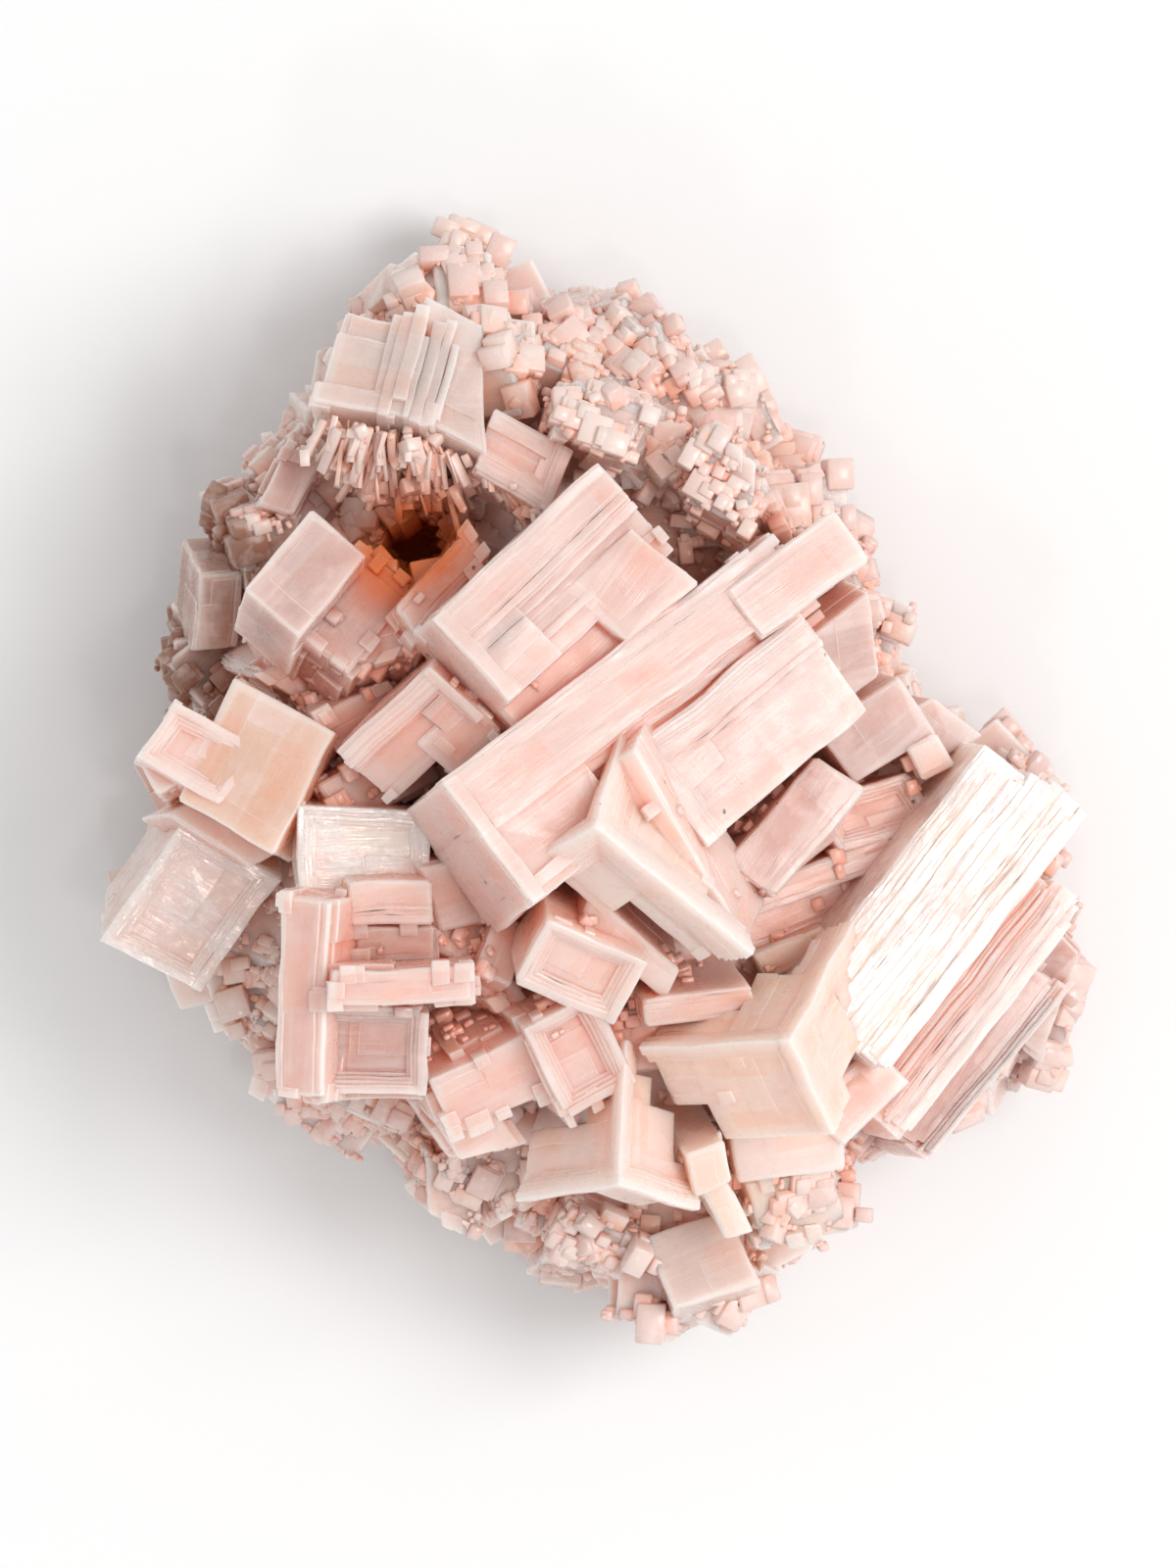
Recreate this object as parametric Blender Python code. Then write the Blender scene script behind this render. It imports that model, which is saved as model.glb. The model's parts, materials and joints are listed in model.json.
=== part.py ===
"""A cluster of pink halite: long bars, three-armed hopper corners and cubes, grown together
on a lumpy salt crust and sawn flat underneath. One solid. Metres, +Z up.

Plan places are millimetres on a drawing sheet, x to the right and y down the sheet.
Heights are millimetres above the sawn foot. A crystal is drawn from its near corner, the
one that stands highest, by the edges that run away and down from it.
"""

import math
import random

import bmesh
import bpy
from mathutils import Matrix, Vector
from mathutils.bvhtree import BVHTree

MM = 0.001
ORIGIN = Vector((60.64, 80.475))
OUTLINE_HEART = Vector((60.9, 80.1))
SEED = 11

# Outline of the whole cluster seen from above, clockwise from the top.
OUTLINE = (
    (46.2, 24.1), (50.5, 25.4), (55.5, 30.6), (64.4, 30.2), (65.6, 33.1), (68.9, 33.6),
    (70.8, 37.4), (73.9, 38.8), (75.6, 42.4), (82.8, 45.2), (84.6, 49.5), (87.2, 54.9),
    (88.5, 58.4), (89.9, 63.1), (90.6, 67.4), (93.5, 70.6), (98.5, 77.0), (103.1, 76.9),
    (108.1, 80.8), (107.4, 85.8), (106.7, 91.1), (110.6, 95.4), (111.8, 98.3),
    (108.9, 104.4), (105.6, 106.9), (101.7, 109.4), (98.5, 113.6), (94.6, 116.9),
    (87.4, 117.6), (84.6, 123.9), (78.9, 129.7), (76.4, 133.6), (69.3, 136.2),
    (65.7, 132.1), (57.1, 128.6), (50.5, 124.5), (43.7, 124.4), (42.3, 117.9),
    (35.9, 115.6), (28.4, 111.5), (25.1, 107.2), (20.1, 101.1), (10.7, 96.3),
    (18.4, 84.7), (14.2, 77.4), (18.2, 71.8), (17.3, 64.9), (20.1, 58.2), (24.8, 55.9),
    (26.9, 48.1), (28.0, 43.4), (32.6, 38.8), (36.6, 32.7), (41.2, 27.5),
)

# The salt mass behind the crystals: how high it stands, as rounded hills on a low shelf.
SHELF_HEIGHT = 17.0
HILLS = (  # plan place, height above the shelf, spread
    ((56.0, 84.0), 24.0, 15.0),
    ((50.0, 38.0), 16.0, 9.0),
    ((72.0, 48.0), 15.0, 11.0),
    ((30.0, 66.0), 14.0, 9.0),
    ((82.0, 102.0), 10.0, 12.0),
    ((36.0, 100.0), 14.0, 11.0),
    ((64.0, 118.0), 10.0, 10.0),
)
WIDEST_LEVEL = 13.0
UNDERSIDE_DEPTH = 9.0
MASS_INSET = 3.5
PIT_PLACE = (42.5, 56.5, 34.0)
PIT_RADII = (4.8, 4.6, 19.0)

# Habits: how a crystal's ribs stand above its slower-grown faces.
RIM = 2.0
RECESS = 1.6
RIB_DEPTH = 0.6
END_WALL = 3.5
PROUD = 0.06
LEAST_SPREAD = -0.5

# The small cubes that crust the sides, the outline and the far shoulder.
SIDE_CUBES = 60
SIDE_SIZE = (5.0, 9.5)
SIDE_SLOPE = (-0.15, 0.3)
SIDE_HEART = 14.0
SIDE_LEAN = math.radians(45)
RIM_CUBES = 62
RIM_SIZE = (5.0, 8.5)
RIM_LEVELS = (7.0, 20.0)
RIM_INSET = 0.62
RIM_LEAN = math.radians(35)
SUGAR_CUBES = 46
SUGAR_SIZE = (3.5, 6.5)
SUGAR_ARC = (math.radians(-122), math.radians(-18))
SUGAR_BAND = (0.66, 0.94)
SUGAR_SINK = 2.5
SUGAR_LEAN = math.radians(40)
UNEVEN = (0.75, 1.25)

# The saw that flattens the foot.
SAW_WIDTH = 300.0
SAW_DEPTH = 100.0


def plan(x, y, z=0.0):
    """A sheet place as metres in the cluster's own frame."""
    return Vector((x - ORIGIN.x, ORIGIN.y - y, z)) * MM


def run(dx, dy, drop):
    """A sheet direction that falls by drop, in metres."""
    return Vector((dx, -dy, -drop)) * MM


def square_drops(a, b, c):
    """How far each of three plan edges must fall for the three to be square to each other."""
    ab = min(a[0] * b[0] + a[1] * b[1], LEAST_SPREAD)
    bc = min(b[0] * c[0] + b[1] * c[1], LEAST_SPREAD)
    ca = min(c[0] * a[0] + c[1] * a[1], LEAST_SPREAD)
    return math.sqrt(-ab * ca / bc), math.sqrt(-ab * bc / ca), math.sqrt(-ca * bc / ab)


def corner_crystal(corner, a, b, c):
    """Frame of a crystal that points its corner up: three receding edges."""
    drops = square_drops(a, b, c)
    edges = [run(*edge, drop) for edge, drop in zip((a, b, c), drops)]
    return plan(*corner), edges


def flat_crystal(corner, a, b, depth):
    """Frame of a crystal that shows one face: its edges a and b, and how deep it goes."""
    edge_a, edge_b = run(*a), run(*b)
    down = edge_a.cross(edge_b).normalized()
    if down.z > 0:
        down = -down
    return plan(*corner), [edge_a, edge_b, down * depth * MM]


def box(bm, frame, low, high, proud=0.0):
    """A block inside a crystal, from low to high in millimetres along its three edges.

    Proud makes it a little larger all round, so that no two blocks share a plane.
    """
    corner, edges = frame
    low = [n - proud for n in low]
    high = [n + proud for n in high]
    axes = [edge.normalized() for edge in edges]
    size = [(top - bottom) * MM for bottom, top in zip(low, high)]
    middle = corner + sum(
        (axis * (bottom + top) * 0.5 * MM for axis, bottom, top in zip(axes, low, high)),
        Vector(),
    )
    turn = Matrix([axis * length for axis, length in zip(axes, size)]).transposed()
    place = Matrix.Translation(middle) @ turn.to_4x4()
    made = bmesh.ops.create_cube(bm, size=1.0, matrix=place)
    if turn.determinant() < 0:
        faces = {face for vert in made["verts"] for face in vert.link_faces}
        bmesh.ops.reverse_faces(bm, faces=list(faces))


def grow(bm, frame, habit, rim=RIM, recess=RECESS, fills=()):
    """One crystal of the given habit: block, hopper, bar or star.

    A star is three arms and the sunk blocks between them, each fill being its reach along
    the three edges as a share of them.
    """
    a, b, c = lengths = [edge.length / MM for edge in frame[1]]
    bed = ((0, 0, recess), lengths)
    near_a = ((0, 0, 0), (a, rim, c * RIB_DEPTH))
    near_b = ((0, 0, 0), (rim, b, c * RIB_DEPTH))
    far_a = ((0, b - rim, 0), (a, b, c * RIB_DEPTH))
    far_b = ((a - rim, 0, 0), (a, b, c * RIB_DEPTH))
    end_wall = ((0, 0, 0), (min(rim, END_WALL), b, c * RIB_DEPTH))
    arms = [((0, 0, 0), [n if i == along else rim for i, n in enumerate(lengths)])
            for along in range(3)]
    sunk = [((recess,) * 3, [n * share for n, share in zip(lengths, fill)]) for fill in fills]
    blocks = {
        "block": [((0, 0, 0), lengths)],
        "hopper": [bed, near_a, near_b, far_a, far_b],
        "bar": [bed, near_a, end_wall],
        "star": arms + sunk,
    }[habit]
    for number, (low, high) in enumerate(blocks):
        box(bm, frame, low, high, PROUD * number)


CORNERS = (  # name, near corner, plan edges a, b and c, rib width, recess, fills
    (
        "middle star", (60.8, 84.2, 60), (2.9, -10.7), (16.0, 13.3), (-7.0, 4.4), 3.0, 1.8,
        ((0.78, 0.25, 0.5), (0.6, 0.5, 0.3), (0.44, 0.72, 0.4), (0.2, 0.9, 0.6),
         (0.2, 0.45, 0.95), (0.5, 0.2, 0.6)),
    ),
    (
        "right star", (80.5, 106.0, 52), (-15.3, 1.0), (6.5, -12.0), (4.5, 9.5), 3.4, 0.7,
        ((0.95, 0.22, 0.62), (0.71, 0.31, 1.0), (0.46, 0.6, 0.8), (0.25, 0.93, 0.5)),
    ),
    (
        "lower star", (63.3, 120.8, 47), (0.7, -14.8), (-10.6, 1.8), (7.9, 2.5), 2.4, 1.2,
        ((0.47, 0.95, 0.25), (0.62, 0.4, 0.3), (0.8, 0.2, 0.43), (0.6, 0.3, 0.72),
         (0.26, 0.5, 0.9)),
    ),
)

FLATS = (  # name, near corner, edge a and edge b with their falls, depth, habit, rim, recess
    ("upper bar", (44.3, 63.3, 55), (16.8, -15.8, 7.5), (7.8, 8.2, 0), 11.5, "bar", 4.6, 1.8),
    ("star brace", (64.8, 76.4, 54), (11.4, 20.0, 8), (-2.6, 1.5, 1.5), 9, "block"),
    ("star keel", (60.6, 91.4, 50), (8.8, 7.6, 5), (-1.6, 3.2, 1.5), 13, "block"),
    ("inner ledge", (74.0, 88.0, 42), (9.5, -11.0, 4), (5.0, 3.5, 1.5), 13, "block"),
    ("upper block", (64.0, 65.6, 49.6), (7.2, -6.2, 2), (-6.8, -5.2, 0), 10, "block"),
    ("long bar", (45.5, 80.0, 58), (33.5, -25.7, 15), (9.0, 12.0, 0), 14.5, "bar", 6.7, 4.5),
    ("bar tail", (74.2, 60.0, 46), (11.0, -8.0, 4), (3.6, 5.0, 0), 12, "block"),
    ("third bar", (65.2, 76.5, 50), (16.5, -13.8, 6), (7.0, 9.8, 2), 12, "bar", 3.0, 1.0),
    ("right block", (82.6, 65.0, 42), (6.2, -4.5, 2), (1.0, 8.5, 3), 14, "block"),
    ("right slab", (83.3, 74.2, 38), (8.5, -5.0, 3), (4.0, 5.8, 3), 14, "block"),
    ("right shoulder", (90.0, 74.0, 33), (5.5, -3.0, 3), (5.0, 4.0, 3), 16, "block"),
    ("shoulder cube", (92.5, 76.5, 34), (3.2, -1.6, 0.5), (1.8, 3.3, 1), 7, "block"),
    ("ledge block", (82.9, 81.8, 35), (9.8, -2.9, 4), (3.0, 5.0, 1), 14, "hopper", 1.4, 1.0),
    ("ledge", (73.8, 89.0, 38), (9.5, -7.5, 3), (2.5, 4.0, 1), 12, "block"),
    ("upper rail", (74.3, 91.6, 37), (16.5, -6.5, 5), (0.9, 2.6, 0.5), 12, "block"),
    ("lower rail", (74.5, 94.0, 34), (17.5, -7.0, 5), (1.5, 3.5, 0.5), 12, "block"),
    ("amber block", (76.8, 97.3, 36), (7.0, -2.8, 1), (1.5, 2.8, 0.5), 10, "block"),
    ("under star", (56.0, 94.0, 52), (10.0, 4.2, 3), (-3.5, 6.2, 3), 13, "hopper", 1.8, 1.2),
    ("cross bar", (65.5, 102.0, 45), (11.0, -1.4, 2), (0.5, 2.8, 1), 13, "block"),
    ("lower left ridge", (43.7, 110.2, 46), (10.3, -4.8, 1), (2.6, 5.8, 3), 12, "block"),
    ("lower left hopper", (53.5, 105.0, 48), (6.8, -3.7, 1), (4.5, 9.0, 4), 12, "hopper", 1.6, 1.6),
    ("lower left foot", (44.0, 114.0, 40), (6.0, -1.6, 1), (3.0, 4.5, 2), 14, "block"),
    ("yellow cube", (28.2, 87.2, 46), (5.9, -12.4, 0), (-10.1, -5.6, 1.5), 13, "block"),
    ("yellow cube wing", (16.3, 81.2, 43), (-2.2, -3.9, 0.6), (6.5, -4.5, 0), 12, "block"),
    ("pale wing", (14.1, 77.3, 45.4), (4.1, -5.5, 0.5), (8.2, 4.7, 0), 12, "hopper", 1.6, 0.8),
    ("wing foot", (17.2, 83.2, 37), (8.5, 5.2, 2), (3.5, -2.2, 1), 12, "block"),
    ("bright slab", (18.5, 84.5, 33), (10.0, 5.0, 2), (-8.3, 11.5, 4), 14, "hopper", 2.0, 0.8),
    ("bright square", (30.5, 82.2, 46), (13.1, 0.8, 1.0), (0.2, 9.5, 1), 13, "hopper", 1.2, 0.8),
    ("left cube", (30.7, 64.9, 50), (6.8, -8.2, 4.4), (-5.6, -4.7, 1.2), 10.5, "block"),
    ("left cube mate", (35.6, 68.6, 45.5), (6.9, -8.4, 4.4), (-5.6, -4.6, 1), 12, "block"),
    ("left cube step", (29.0, 66.0, 43), (-2.8, -4.2, 1), (5.0, -1.5, 1), 10, "block"),
    ("wedge", (36.2, 68.3, 44), (4.8, -6.6, 2), (5.6, -1.8, 0), 12, "block"),
    ("wedge top", (42.5, 65.0, 47), (7.2, -8.0, 4), (-2.0, -3.0, 1), 12, "block"),
    ("under bar", (44.0, 68.2, 51), (-9.5, 8.8, 4), (5.4, 5.0, 0.5), 11, "bar", 2.0, 1.4),
    ("between bars", (52.5, 73.5, 47), (13.0, -11.0, 4.5), (4.5, 4.5, 0.5), 14, "block"),
    ("square backing", (32.5, 80.0, 43), (9.5, -5.5, 2), (3.0, 5.0, 1), 14, "block"),
    ("bar foot", (43.0, 88.5, 46), (5.5, -1.0, 2), (2.0, 6.5, 2), 14, "block"),
    ("cross foot", (60.5, 103.5, 41), (8.0, -1.0, 1), (1.0, 6.5, 1), 14, "block"),
    ("plate heel", (82.0, 113.0, 35), (7.0, -6.5, 2), (4.0, 4.0, 1), 14, "block"),
    ("wedge foot", (32.6, 72.9, 42.4), (7.2, -3.1, 1.4), (3.2, 5.1, 1.7), 14, "block"),
    ("under bar step", (47.4, 71.2, 50), (4.0, 3.4, 0.5), (-5.0, 4.8, 2), 12, "block"),
    ("step one", (26.2, 69.0, 38), (5.0, -2.5, 1), (6.0, 3.5, 2), 14, "block"),
    ("step two", (32.0, 69.5, 40), (4.0, -1.8, 1), (4.0, 3.2, 1.5), 14, "block"),
    ("frame post", (33.8, 91.8, 51), (-0.8, 20.0, 2), (-4.8, -0.4, 2), 13, "block"),
    ("frame beam", (34.0, 99.0, 52), (14.2, -0.6, 1), (0.1, 3.6, 0.3), 12, "block"),
    ("frame window", (31.0, 102.6, 49), (12.7, 0.2, 1.5), (-0.4, 8.6, 2), 13, "hopper", 1.5, 1.4),
    ("frame block", (35.5, 90.0, 48), (8.5, -0.2, 1), (0.3, 4.5, 1), 12, "block"),
    ("frame step", (36.5, 94.8, 46), (7.8, -0.3, 1), (0.0, 3.8, 1), 12, "block"),
    ("fan plate", (43.2, 95.8, 44), (4.5, -4.5, 3), (5.0, 3.0, 2), 14, "block"),
    ("fan cube", (48.5, 99.0, 46), (2.5, -6.0, 3), (3.5, 1.5, 1), 14, "block"),
    ("fan foot", (48.7, 100.5, 43), (3.5, 4.2, 2), (3.0, -1.2, 1), 14, "block"),
    ("great plate", (80.5, 102.0, 41), (20.0, -25.5, 5), (9.2, 7.2, 3.2), 10, "bar", 9.0, 0.5),
    ("plate terrace", (87.0, 112.0, 33), (18.0, -23.0, 5), (5.0, 3.9, 2), 11, "block"),
    ("plate foot", (90.0, 114.5, 28), (14.0, -17.0, 4), (5.0, 3.6, 2), 14, "block"),
    ("outer chunk", (105.5, 92.5, 26), (5.0, 4.8, 5), (-4.0, 11.0, 4), 12, "block"),
    ("outer chunk foot", (103.0, 98.0, 20), (7.5, 2.0, 5), (-2.0, 9.5, 3), 12, "block"),
    ("peach block", (74.5, 114.5, 37), (11.0, -1.5, 2), (0.8, 6.5, 4), 16, "block"),
    ("peach foot", (76.0, 121.0, 31), (8.8, -1.5, 3), (2.0, 6.5, 5), 16, "block"),
    ("small peach", (70.0, 117.8, 41), (4.0, -1.5, 0.5), (0.8, 4.4, 2), 14, "block"),
    ("foot cube", (71.6, 121.5, 36), (2.6, -0.8, 0.3), (2.4, 5.2, 3), 14, "block"),
    ("lowest cube", (69.0, 133.8, 28), (8.5, -2.8, 1), (-3.2, -7.5, 1.2), 17, "block"),
    ("low step", (59.0, 124.0, 28), (6.5, 3.0, 2), (-2.2, 4.0, 2), 16, "block"),
    ("low corner", (43.2, 118.0, 26), (5.5, 2.5, 1), (0.5, 6.0, 1.5), 16, "block"),
    ("low shelf", (30.0, 111.0, 28), (11.0, 4.8, 3), (1.2, -3.0, 0), 16, "block"),
    ("crown", (44.2, 43.2, 43), (-12.0, -2.4, 2), (2.8, -10.0, 5.0), 8, "bar", 2.4, 0.8),
    ("crown wing", (49.7, 46.2, 42), (-5.6, -3.0, 0), (-0.5, -13.0, 6), 9, "block"),
    ("roof slab", (56.0, 52.2, 42), (-7.5, -4.5, 0), (2.4, -6.0, 1.5), 8, "bar", 2.0, 1.0),
    ("round crystal", (56.8, 44.0, 44), (7.5, 2.5, 1), (2.0, -4.8, 1), 10, "block"),
    ("crust cube", (76.3, 54.3, 41), (-5.8, -3.3, 0.5), (0.8, -7.2, 1.5), 10, "block"),
    ("edge cube", (26.2, 51.2, 31), (3.3, -5.6, 1), (3.6, 1.2, 0), 12, "block"),
    ("left post", (20.3, 58.6, 28), (4.5, -0.5, 0.5), (-0.8, 7.8, 2), 14, "block"),
    ("left foot", (17.5, 65.5, 22), (5.5, -0.8, 0), (0.2, 6.0, 1), 16, "block"),
    ("left ledge", (24.6, 53.6, 30), (5.5, -1.8, 1), (1.0, 6.0, 2), 14, "block"),
)


def height_of_mass(x, y):
    """Height of the salt mass over a sheet place."""
    high = SHELF_HEIGHT
    for (hill_x, hill_y), rise, spread in HILLS:
        apart = ((x - hill_x) ** 2 + (y - hill_y) ** 2) / (2 * spread**2)
        high += rise * math.exp(-apart)
    return high


def outline_reach(angle):
    """Distance from the outline's heart to the outline, in millimetres, at an angle."""
    ray = Vector((math.cos(angle), math.sin(angle)))
    points = [Vector(point) - OUTLINE_HEART for point in OUTLINE]
    for start, end in zip(points, points[1:] + points[:1]):
        side = end - start
        turn = ray.x * side.y - ray.y * side.x
        if abs(turn) < 1e-9:
            continue
        reach = (start.x * side.y - start.y * side.x) / turn
        share = (start.x * ray.y - start.y * ray.x) / turn
        if reach > 0 and -1e-9 <= share <= 1 + 1e-9:
            return reach
    raise ValueError("the outline has a gap")


def salt_mass(bm):
    """The lumpy mass that the crystals stand on, widest a little above its foot."""
    made = bmesh.ops.create_icosphere(bm, subdivisions=3, radius=1.0)
    for vert in made["verts"]:
        p = vert.co.copy()
        level = max(min(p.z, 1.0), -1.0)
        across = math.sqrt(max(1 - level**2, 0.0)) ** 0.75
        angle = math.atan2(p.y, p.x)
        reach = (outline_reach(angle) - MASS_INSET) * across
        x = OUTLINE_HEART.x + reach * math.cos(angle)
        y = OUTLINE_HEART.y + reach * math.sin(angle)
        if level > 0:
            z = WIDEST_LEVEL + (height_of_mass(x, y) - WIDEST_LEVEL) * level**0.7
        else:
            z = WIDEST_LEVEL + (WIDEST_LEVEL + UNDERSIDE_DEPTH) * level
        vert.co = plan(x, y, z)
    bmesh.ops.recalc_face_normals(bm, faces=bm.faces)


def turned_cube(bm, rng, centre, size, tilt):
    """A cube with each side a little different, turned at random but never far from tilt."""
    turn = Matrix.Rotation(rng.uniform(0, math.pi / 2), 4, "Z")
    lean = Vector((rng.uniform(-1, 1), rng.uniform(-1, 1), 0)).normalized()
    turn = Matrix.Rotation(rng.uniform(0, tilt), 4, lean) @ turn
    sides = Matrix.Diagonal([size * MM * rng.uniform(*UNEVEN) for _ in range(3)] + [1.0])
    bmesh.ops.create_cube(bm, size=1.0, matrix=Matrix.Translation(centre) @ turn @ sides)


def side_cubes(bm, rng, mass):
    """Cubes half sunk in the sides of the mass."""
    tree = BVHTree.FromBMesh(mass)
    heart = plan(*OUTLINE_HEART, SIDE_HEART)
    for _ in range(SIDE_CUBES):
        angle = rng.uniform(0, 2 * math.pi)
        out = Vector((math.cos(angle), math.sin(angle), rng.uniform(*SIDE_SLOPE))).normalized()
        place, _, _, _ = tree.ray_cast(heart + out * SAW_WIDTH * MM, -out)
        if place:
            turned_cube(bm, rng, place, rng.uniform(*SIDE_SIZE), SIDE_LEAN)


def outline_place(angle, inset, share=1.0):
    """A sheet place on the outline at an angle, drawn in by inset or to a share of the way."""
    reach = outline_reach(angle) * share - inset
    return (
        OUTLINE_HEART.x + reach * math.cos(angle),
        OUTLINE_HEART.y + reach * math.sin(angle),
    )


def rim_cubes(bm, rng):
    """Cubes round the outline, each reaching out to it with a corner or an edge."""
    for index in range(RIM_CUBES):
        angle = 2 * math.pi * (index + rng.uniform(-0.3, 0.3)) / RIM_CUBES
        size = rng.uniform(*RIM_SIZE)
        place = plan(*outline_place(angle, size * RIM_INSET), rng.uniform(*RIM_LEVELS))
        turned_cube(bm, rng, place, size, RIM_LEAN)


def sugar_cubes(bm, rng):
    """The crust of small cubes over the far shoulder of the cluster."""
    for _ in range(SUGAR_CUBES):
        x, y = outline_place(rng.uniform(*SUGAR_ARC), 0.0, rng.uniform(*SUGAR_BAND))
        place = plan(x, y, height_of_mass(x, y) - SUGAR_SINK)
        turned_cube(bm, rng, place, rng.uniform(*SUGAR_SIZE), SUGAR_LEAN)


def new_object(name, bm, collection):
    mesh = bpy.data.meshes.new(name)
    bm.to_mesh(mesh)
    bm.free()
    made = bpy.data.objects.new(name, mesh)
    collection.objects.link(made)
    return made


def helper(name, bm, collection):
    made = new_object(name, bm, collection)
    made.hide_render = True
    made.display_type = "WIRE"
    return made


def shells_of(bm):
    """The connected shells of a mesh, each as a list of its points."""
    seen = set()
    shells = []
    for first in bm.verts:
        if first in seen:
            continue
        seen.add(first)
        shell = [first]
        for vert in shell:
            for edge in vert.link_edges:
                other = edge.other_vert(vert)
                if other not in seen:
                    seen.add(other)
                    shell.append(other)
        shells.append(shell)
    return shells


def split_boxes(name, bm, collection):
    """Each closed block of a mesh as its own helper object, so that a union can take them."""
    for number, shell in enumerate(shells_of(bm)):
        piece = bmesh.new()
        twin = {vert: piece.verts.new(vert.co) for vert in shell}
        for face in {face: None for vert in shell for face in vert.link_faces}:
            piece.faces.new([twin[vert] for vert in face.verts])
        helper(f"{name}_{number}", piece, collection)
    bm.free()


def salt_material():
    made = bpy.data.materials.new("pink_halite")
    made.use_nodes = True
    surface = made.node_tree.nodes["Principled BSDF"]
    surface.inputs["Base Color"].default_value = (0.86, 0.58, 0.52, 1.0)
    surface.inputs["Roughness"].default_value = 0.35
    surface.inputs["Metallic"].default_value = 0.0
    surface.inputs["IOR"].default_value = 1.544
    return made


def keep_outer_shell(bm):
    """Drops closed pockets and loose grains: only the largest connected shell stays."""
    shells = shells_of(bm)
    largest = max(shells, key=len)
    loose = [vert for shell in shells if shell is not largest for vert in shell]
    bmesh.ops.delete(bm, geom=loose, context="VERTS")


def join(base, pit, others, foot):
    """The mass with its pit, every crystal and the crust as one solid, sawn flat at the foot."""
    hollow = base.modifiers.new("pit", "BOOLEAN")
    hollow.operation = "DIFFERENCE"
    hollow.object = pit
    hollow.solver = "EXACT"
    grown = base.modifiers.new("grown_together", "BOOLEAN")
    grown.operation = "UNION"
    grown.operand_type = "COLLECTION"
    grown.collection = others
    grown.solver = "EXACT"
    sawn = base.modifiers.new("sawn_foot", "BOOLEAN")
    sawn.operation = "DIFFERENCE"
    sawn.object = foot
    sawn.solver = "EXACT"


def main():
    for old in list(bpy.data.objects):
        bpy.data.objects.remove(old)
    scene = bpy.context.scene.collection
    helpers = bpy.data.collections.new("crystals")
    scene.children.link(helpers)
    rng = random.Random(SEED)

    mass = bmesh.new()
    salt_mass(mass)
    blocks = bmesh.new()
    for _, corner, a, b, c, rim, recess, fills in CORNERS:
        grow(blocks, corner_crystal(corner, a, b, c), "star", rim, recess, fills)
    for _, corner, a, b, depth, habit, *sizes in FLATS:
        grow(blocks, flat_crystal(corner, a, b, depth), habit, *sizes)
    side_cubes(blocks, rng, mass)
    rim_cubes(blocks, rng)
    sugar_cubes(blocks, rng)
    split_boxes("block", blocks, helpers)

    pit = bmesh.new()
    pit_size = Matrix.Diagonal([radius * MM for radius in PIT_RADII] + [1.0])
    pit_shape = Matrix.Translation(plan(*PIT_PLACE)) @ pit_size
    bmesh.ops.create_icosphere(pit, subdivisions=2, radius=1.0, matrix=pit_shape)
    pit_cutter = helper("pit_cutter", pit, scene)

    foot = bmesh.new()
    saw_size = (SAW_WIDTH * MM, SAW_WIDTH * MM, SAW_DEPTH * MM, 1.0)
    below = Matrix.Translation((0, 0, -0.5 * SAW_DEPTH * MM)) @ Matrix.Diagonal(saw_size)
    bmesh.ops.create_cube(foot, size=1.0, matrix=below)
    foot_cutter = helper("foot_cutter", foot, scene)

    cluster = new_object("halite_cluster", mass, scene)
    join(cluster, pit_cutter, helpers, foot_cutter)

    graph = bpy.context.evaluated_depsgraph_get()
    whole = bmesh.new()
    whole.from_mesh(cluster.evaluated_get(graph).to_mesh())
    cluster.modifiers.clear()
    keep_outer_shell(whole)
    bmesh.ops.triangulate(whole, faces=whole.faces)
    whole.to_mesh(cluster.data)
    whole.free()
    cluster.data.materials.clear()
    cluster.data.materials.append(salt_material())


main()
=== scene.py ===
"""The looks of a pink halite cluster: bars, three-armed corners and hopper cubes with their
growth steps, a sugary crust of small cubes and a curtain of needles over an orange pit.

Plan places are millimetres on a drawing sheet, x to the right and y down the sheet.
Heights are millimetres above the sawn foot. A crystal is drawn from its near corner, the
one that stands highest, by the edges that run away and down from it. Blocks inside a
crystal are given in millimetres along its three edges.
"""

import json
import math
import random

import bmesh
import bpy
from mathutils import Matrix, Vector, noise
from mathutils.bvhtree import BVHTree

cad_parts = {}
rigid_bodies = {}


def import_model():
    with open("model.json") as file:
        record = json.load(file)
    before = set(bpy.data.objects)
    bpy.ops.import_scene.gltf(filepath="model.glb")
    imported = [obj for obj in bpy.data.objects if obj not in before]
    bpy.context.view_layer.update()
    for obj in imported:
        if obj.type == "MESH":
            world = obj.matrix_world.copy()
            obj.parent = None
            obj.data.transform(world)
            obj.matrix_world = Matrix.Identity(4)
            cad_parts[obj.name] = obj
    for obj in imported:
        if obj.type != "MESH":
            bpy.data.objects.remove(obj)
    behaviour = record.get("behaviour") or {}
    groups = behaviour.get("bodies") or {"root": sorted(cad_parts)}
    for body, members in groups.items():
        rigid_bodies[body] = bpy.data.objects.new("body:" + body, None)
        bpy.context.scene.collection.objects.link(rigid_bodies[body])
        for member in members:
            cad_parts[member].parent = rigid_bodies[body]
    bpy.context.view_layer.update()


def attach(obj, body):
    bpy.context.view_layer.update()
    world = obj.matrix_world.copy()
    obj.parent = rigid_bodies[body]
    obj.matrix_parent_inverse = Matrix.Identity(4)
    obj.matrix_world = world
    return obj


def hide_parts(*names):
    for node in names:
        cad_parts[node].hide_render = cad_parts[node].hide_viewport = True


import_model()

MM = 0.001
ORIGIN = Vector((60.64, 80.475))
OUTLINE_HEART = Vector((60.9, 80.1))
SEED = 11
noise.seed_set(SEED)  # without it the noise is new each run

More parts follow.
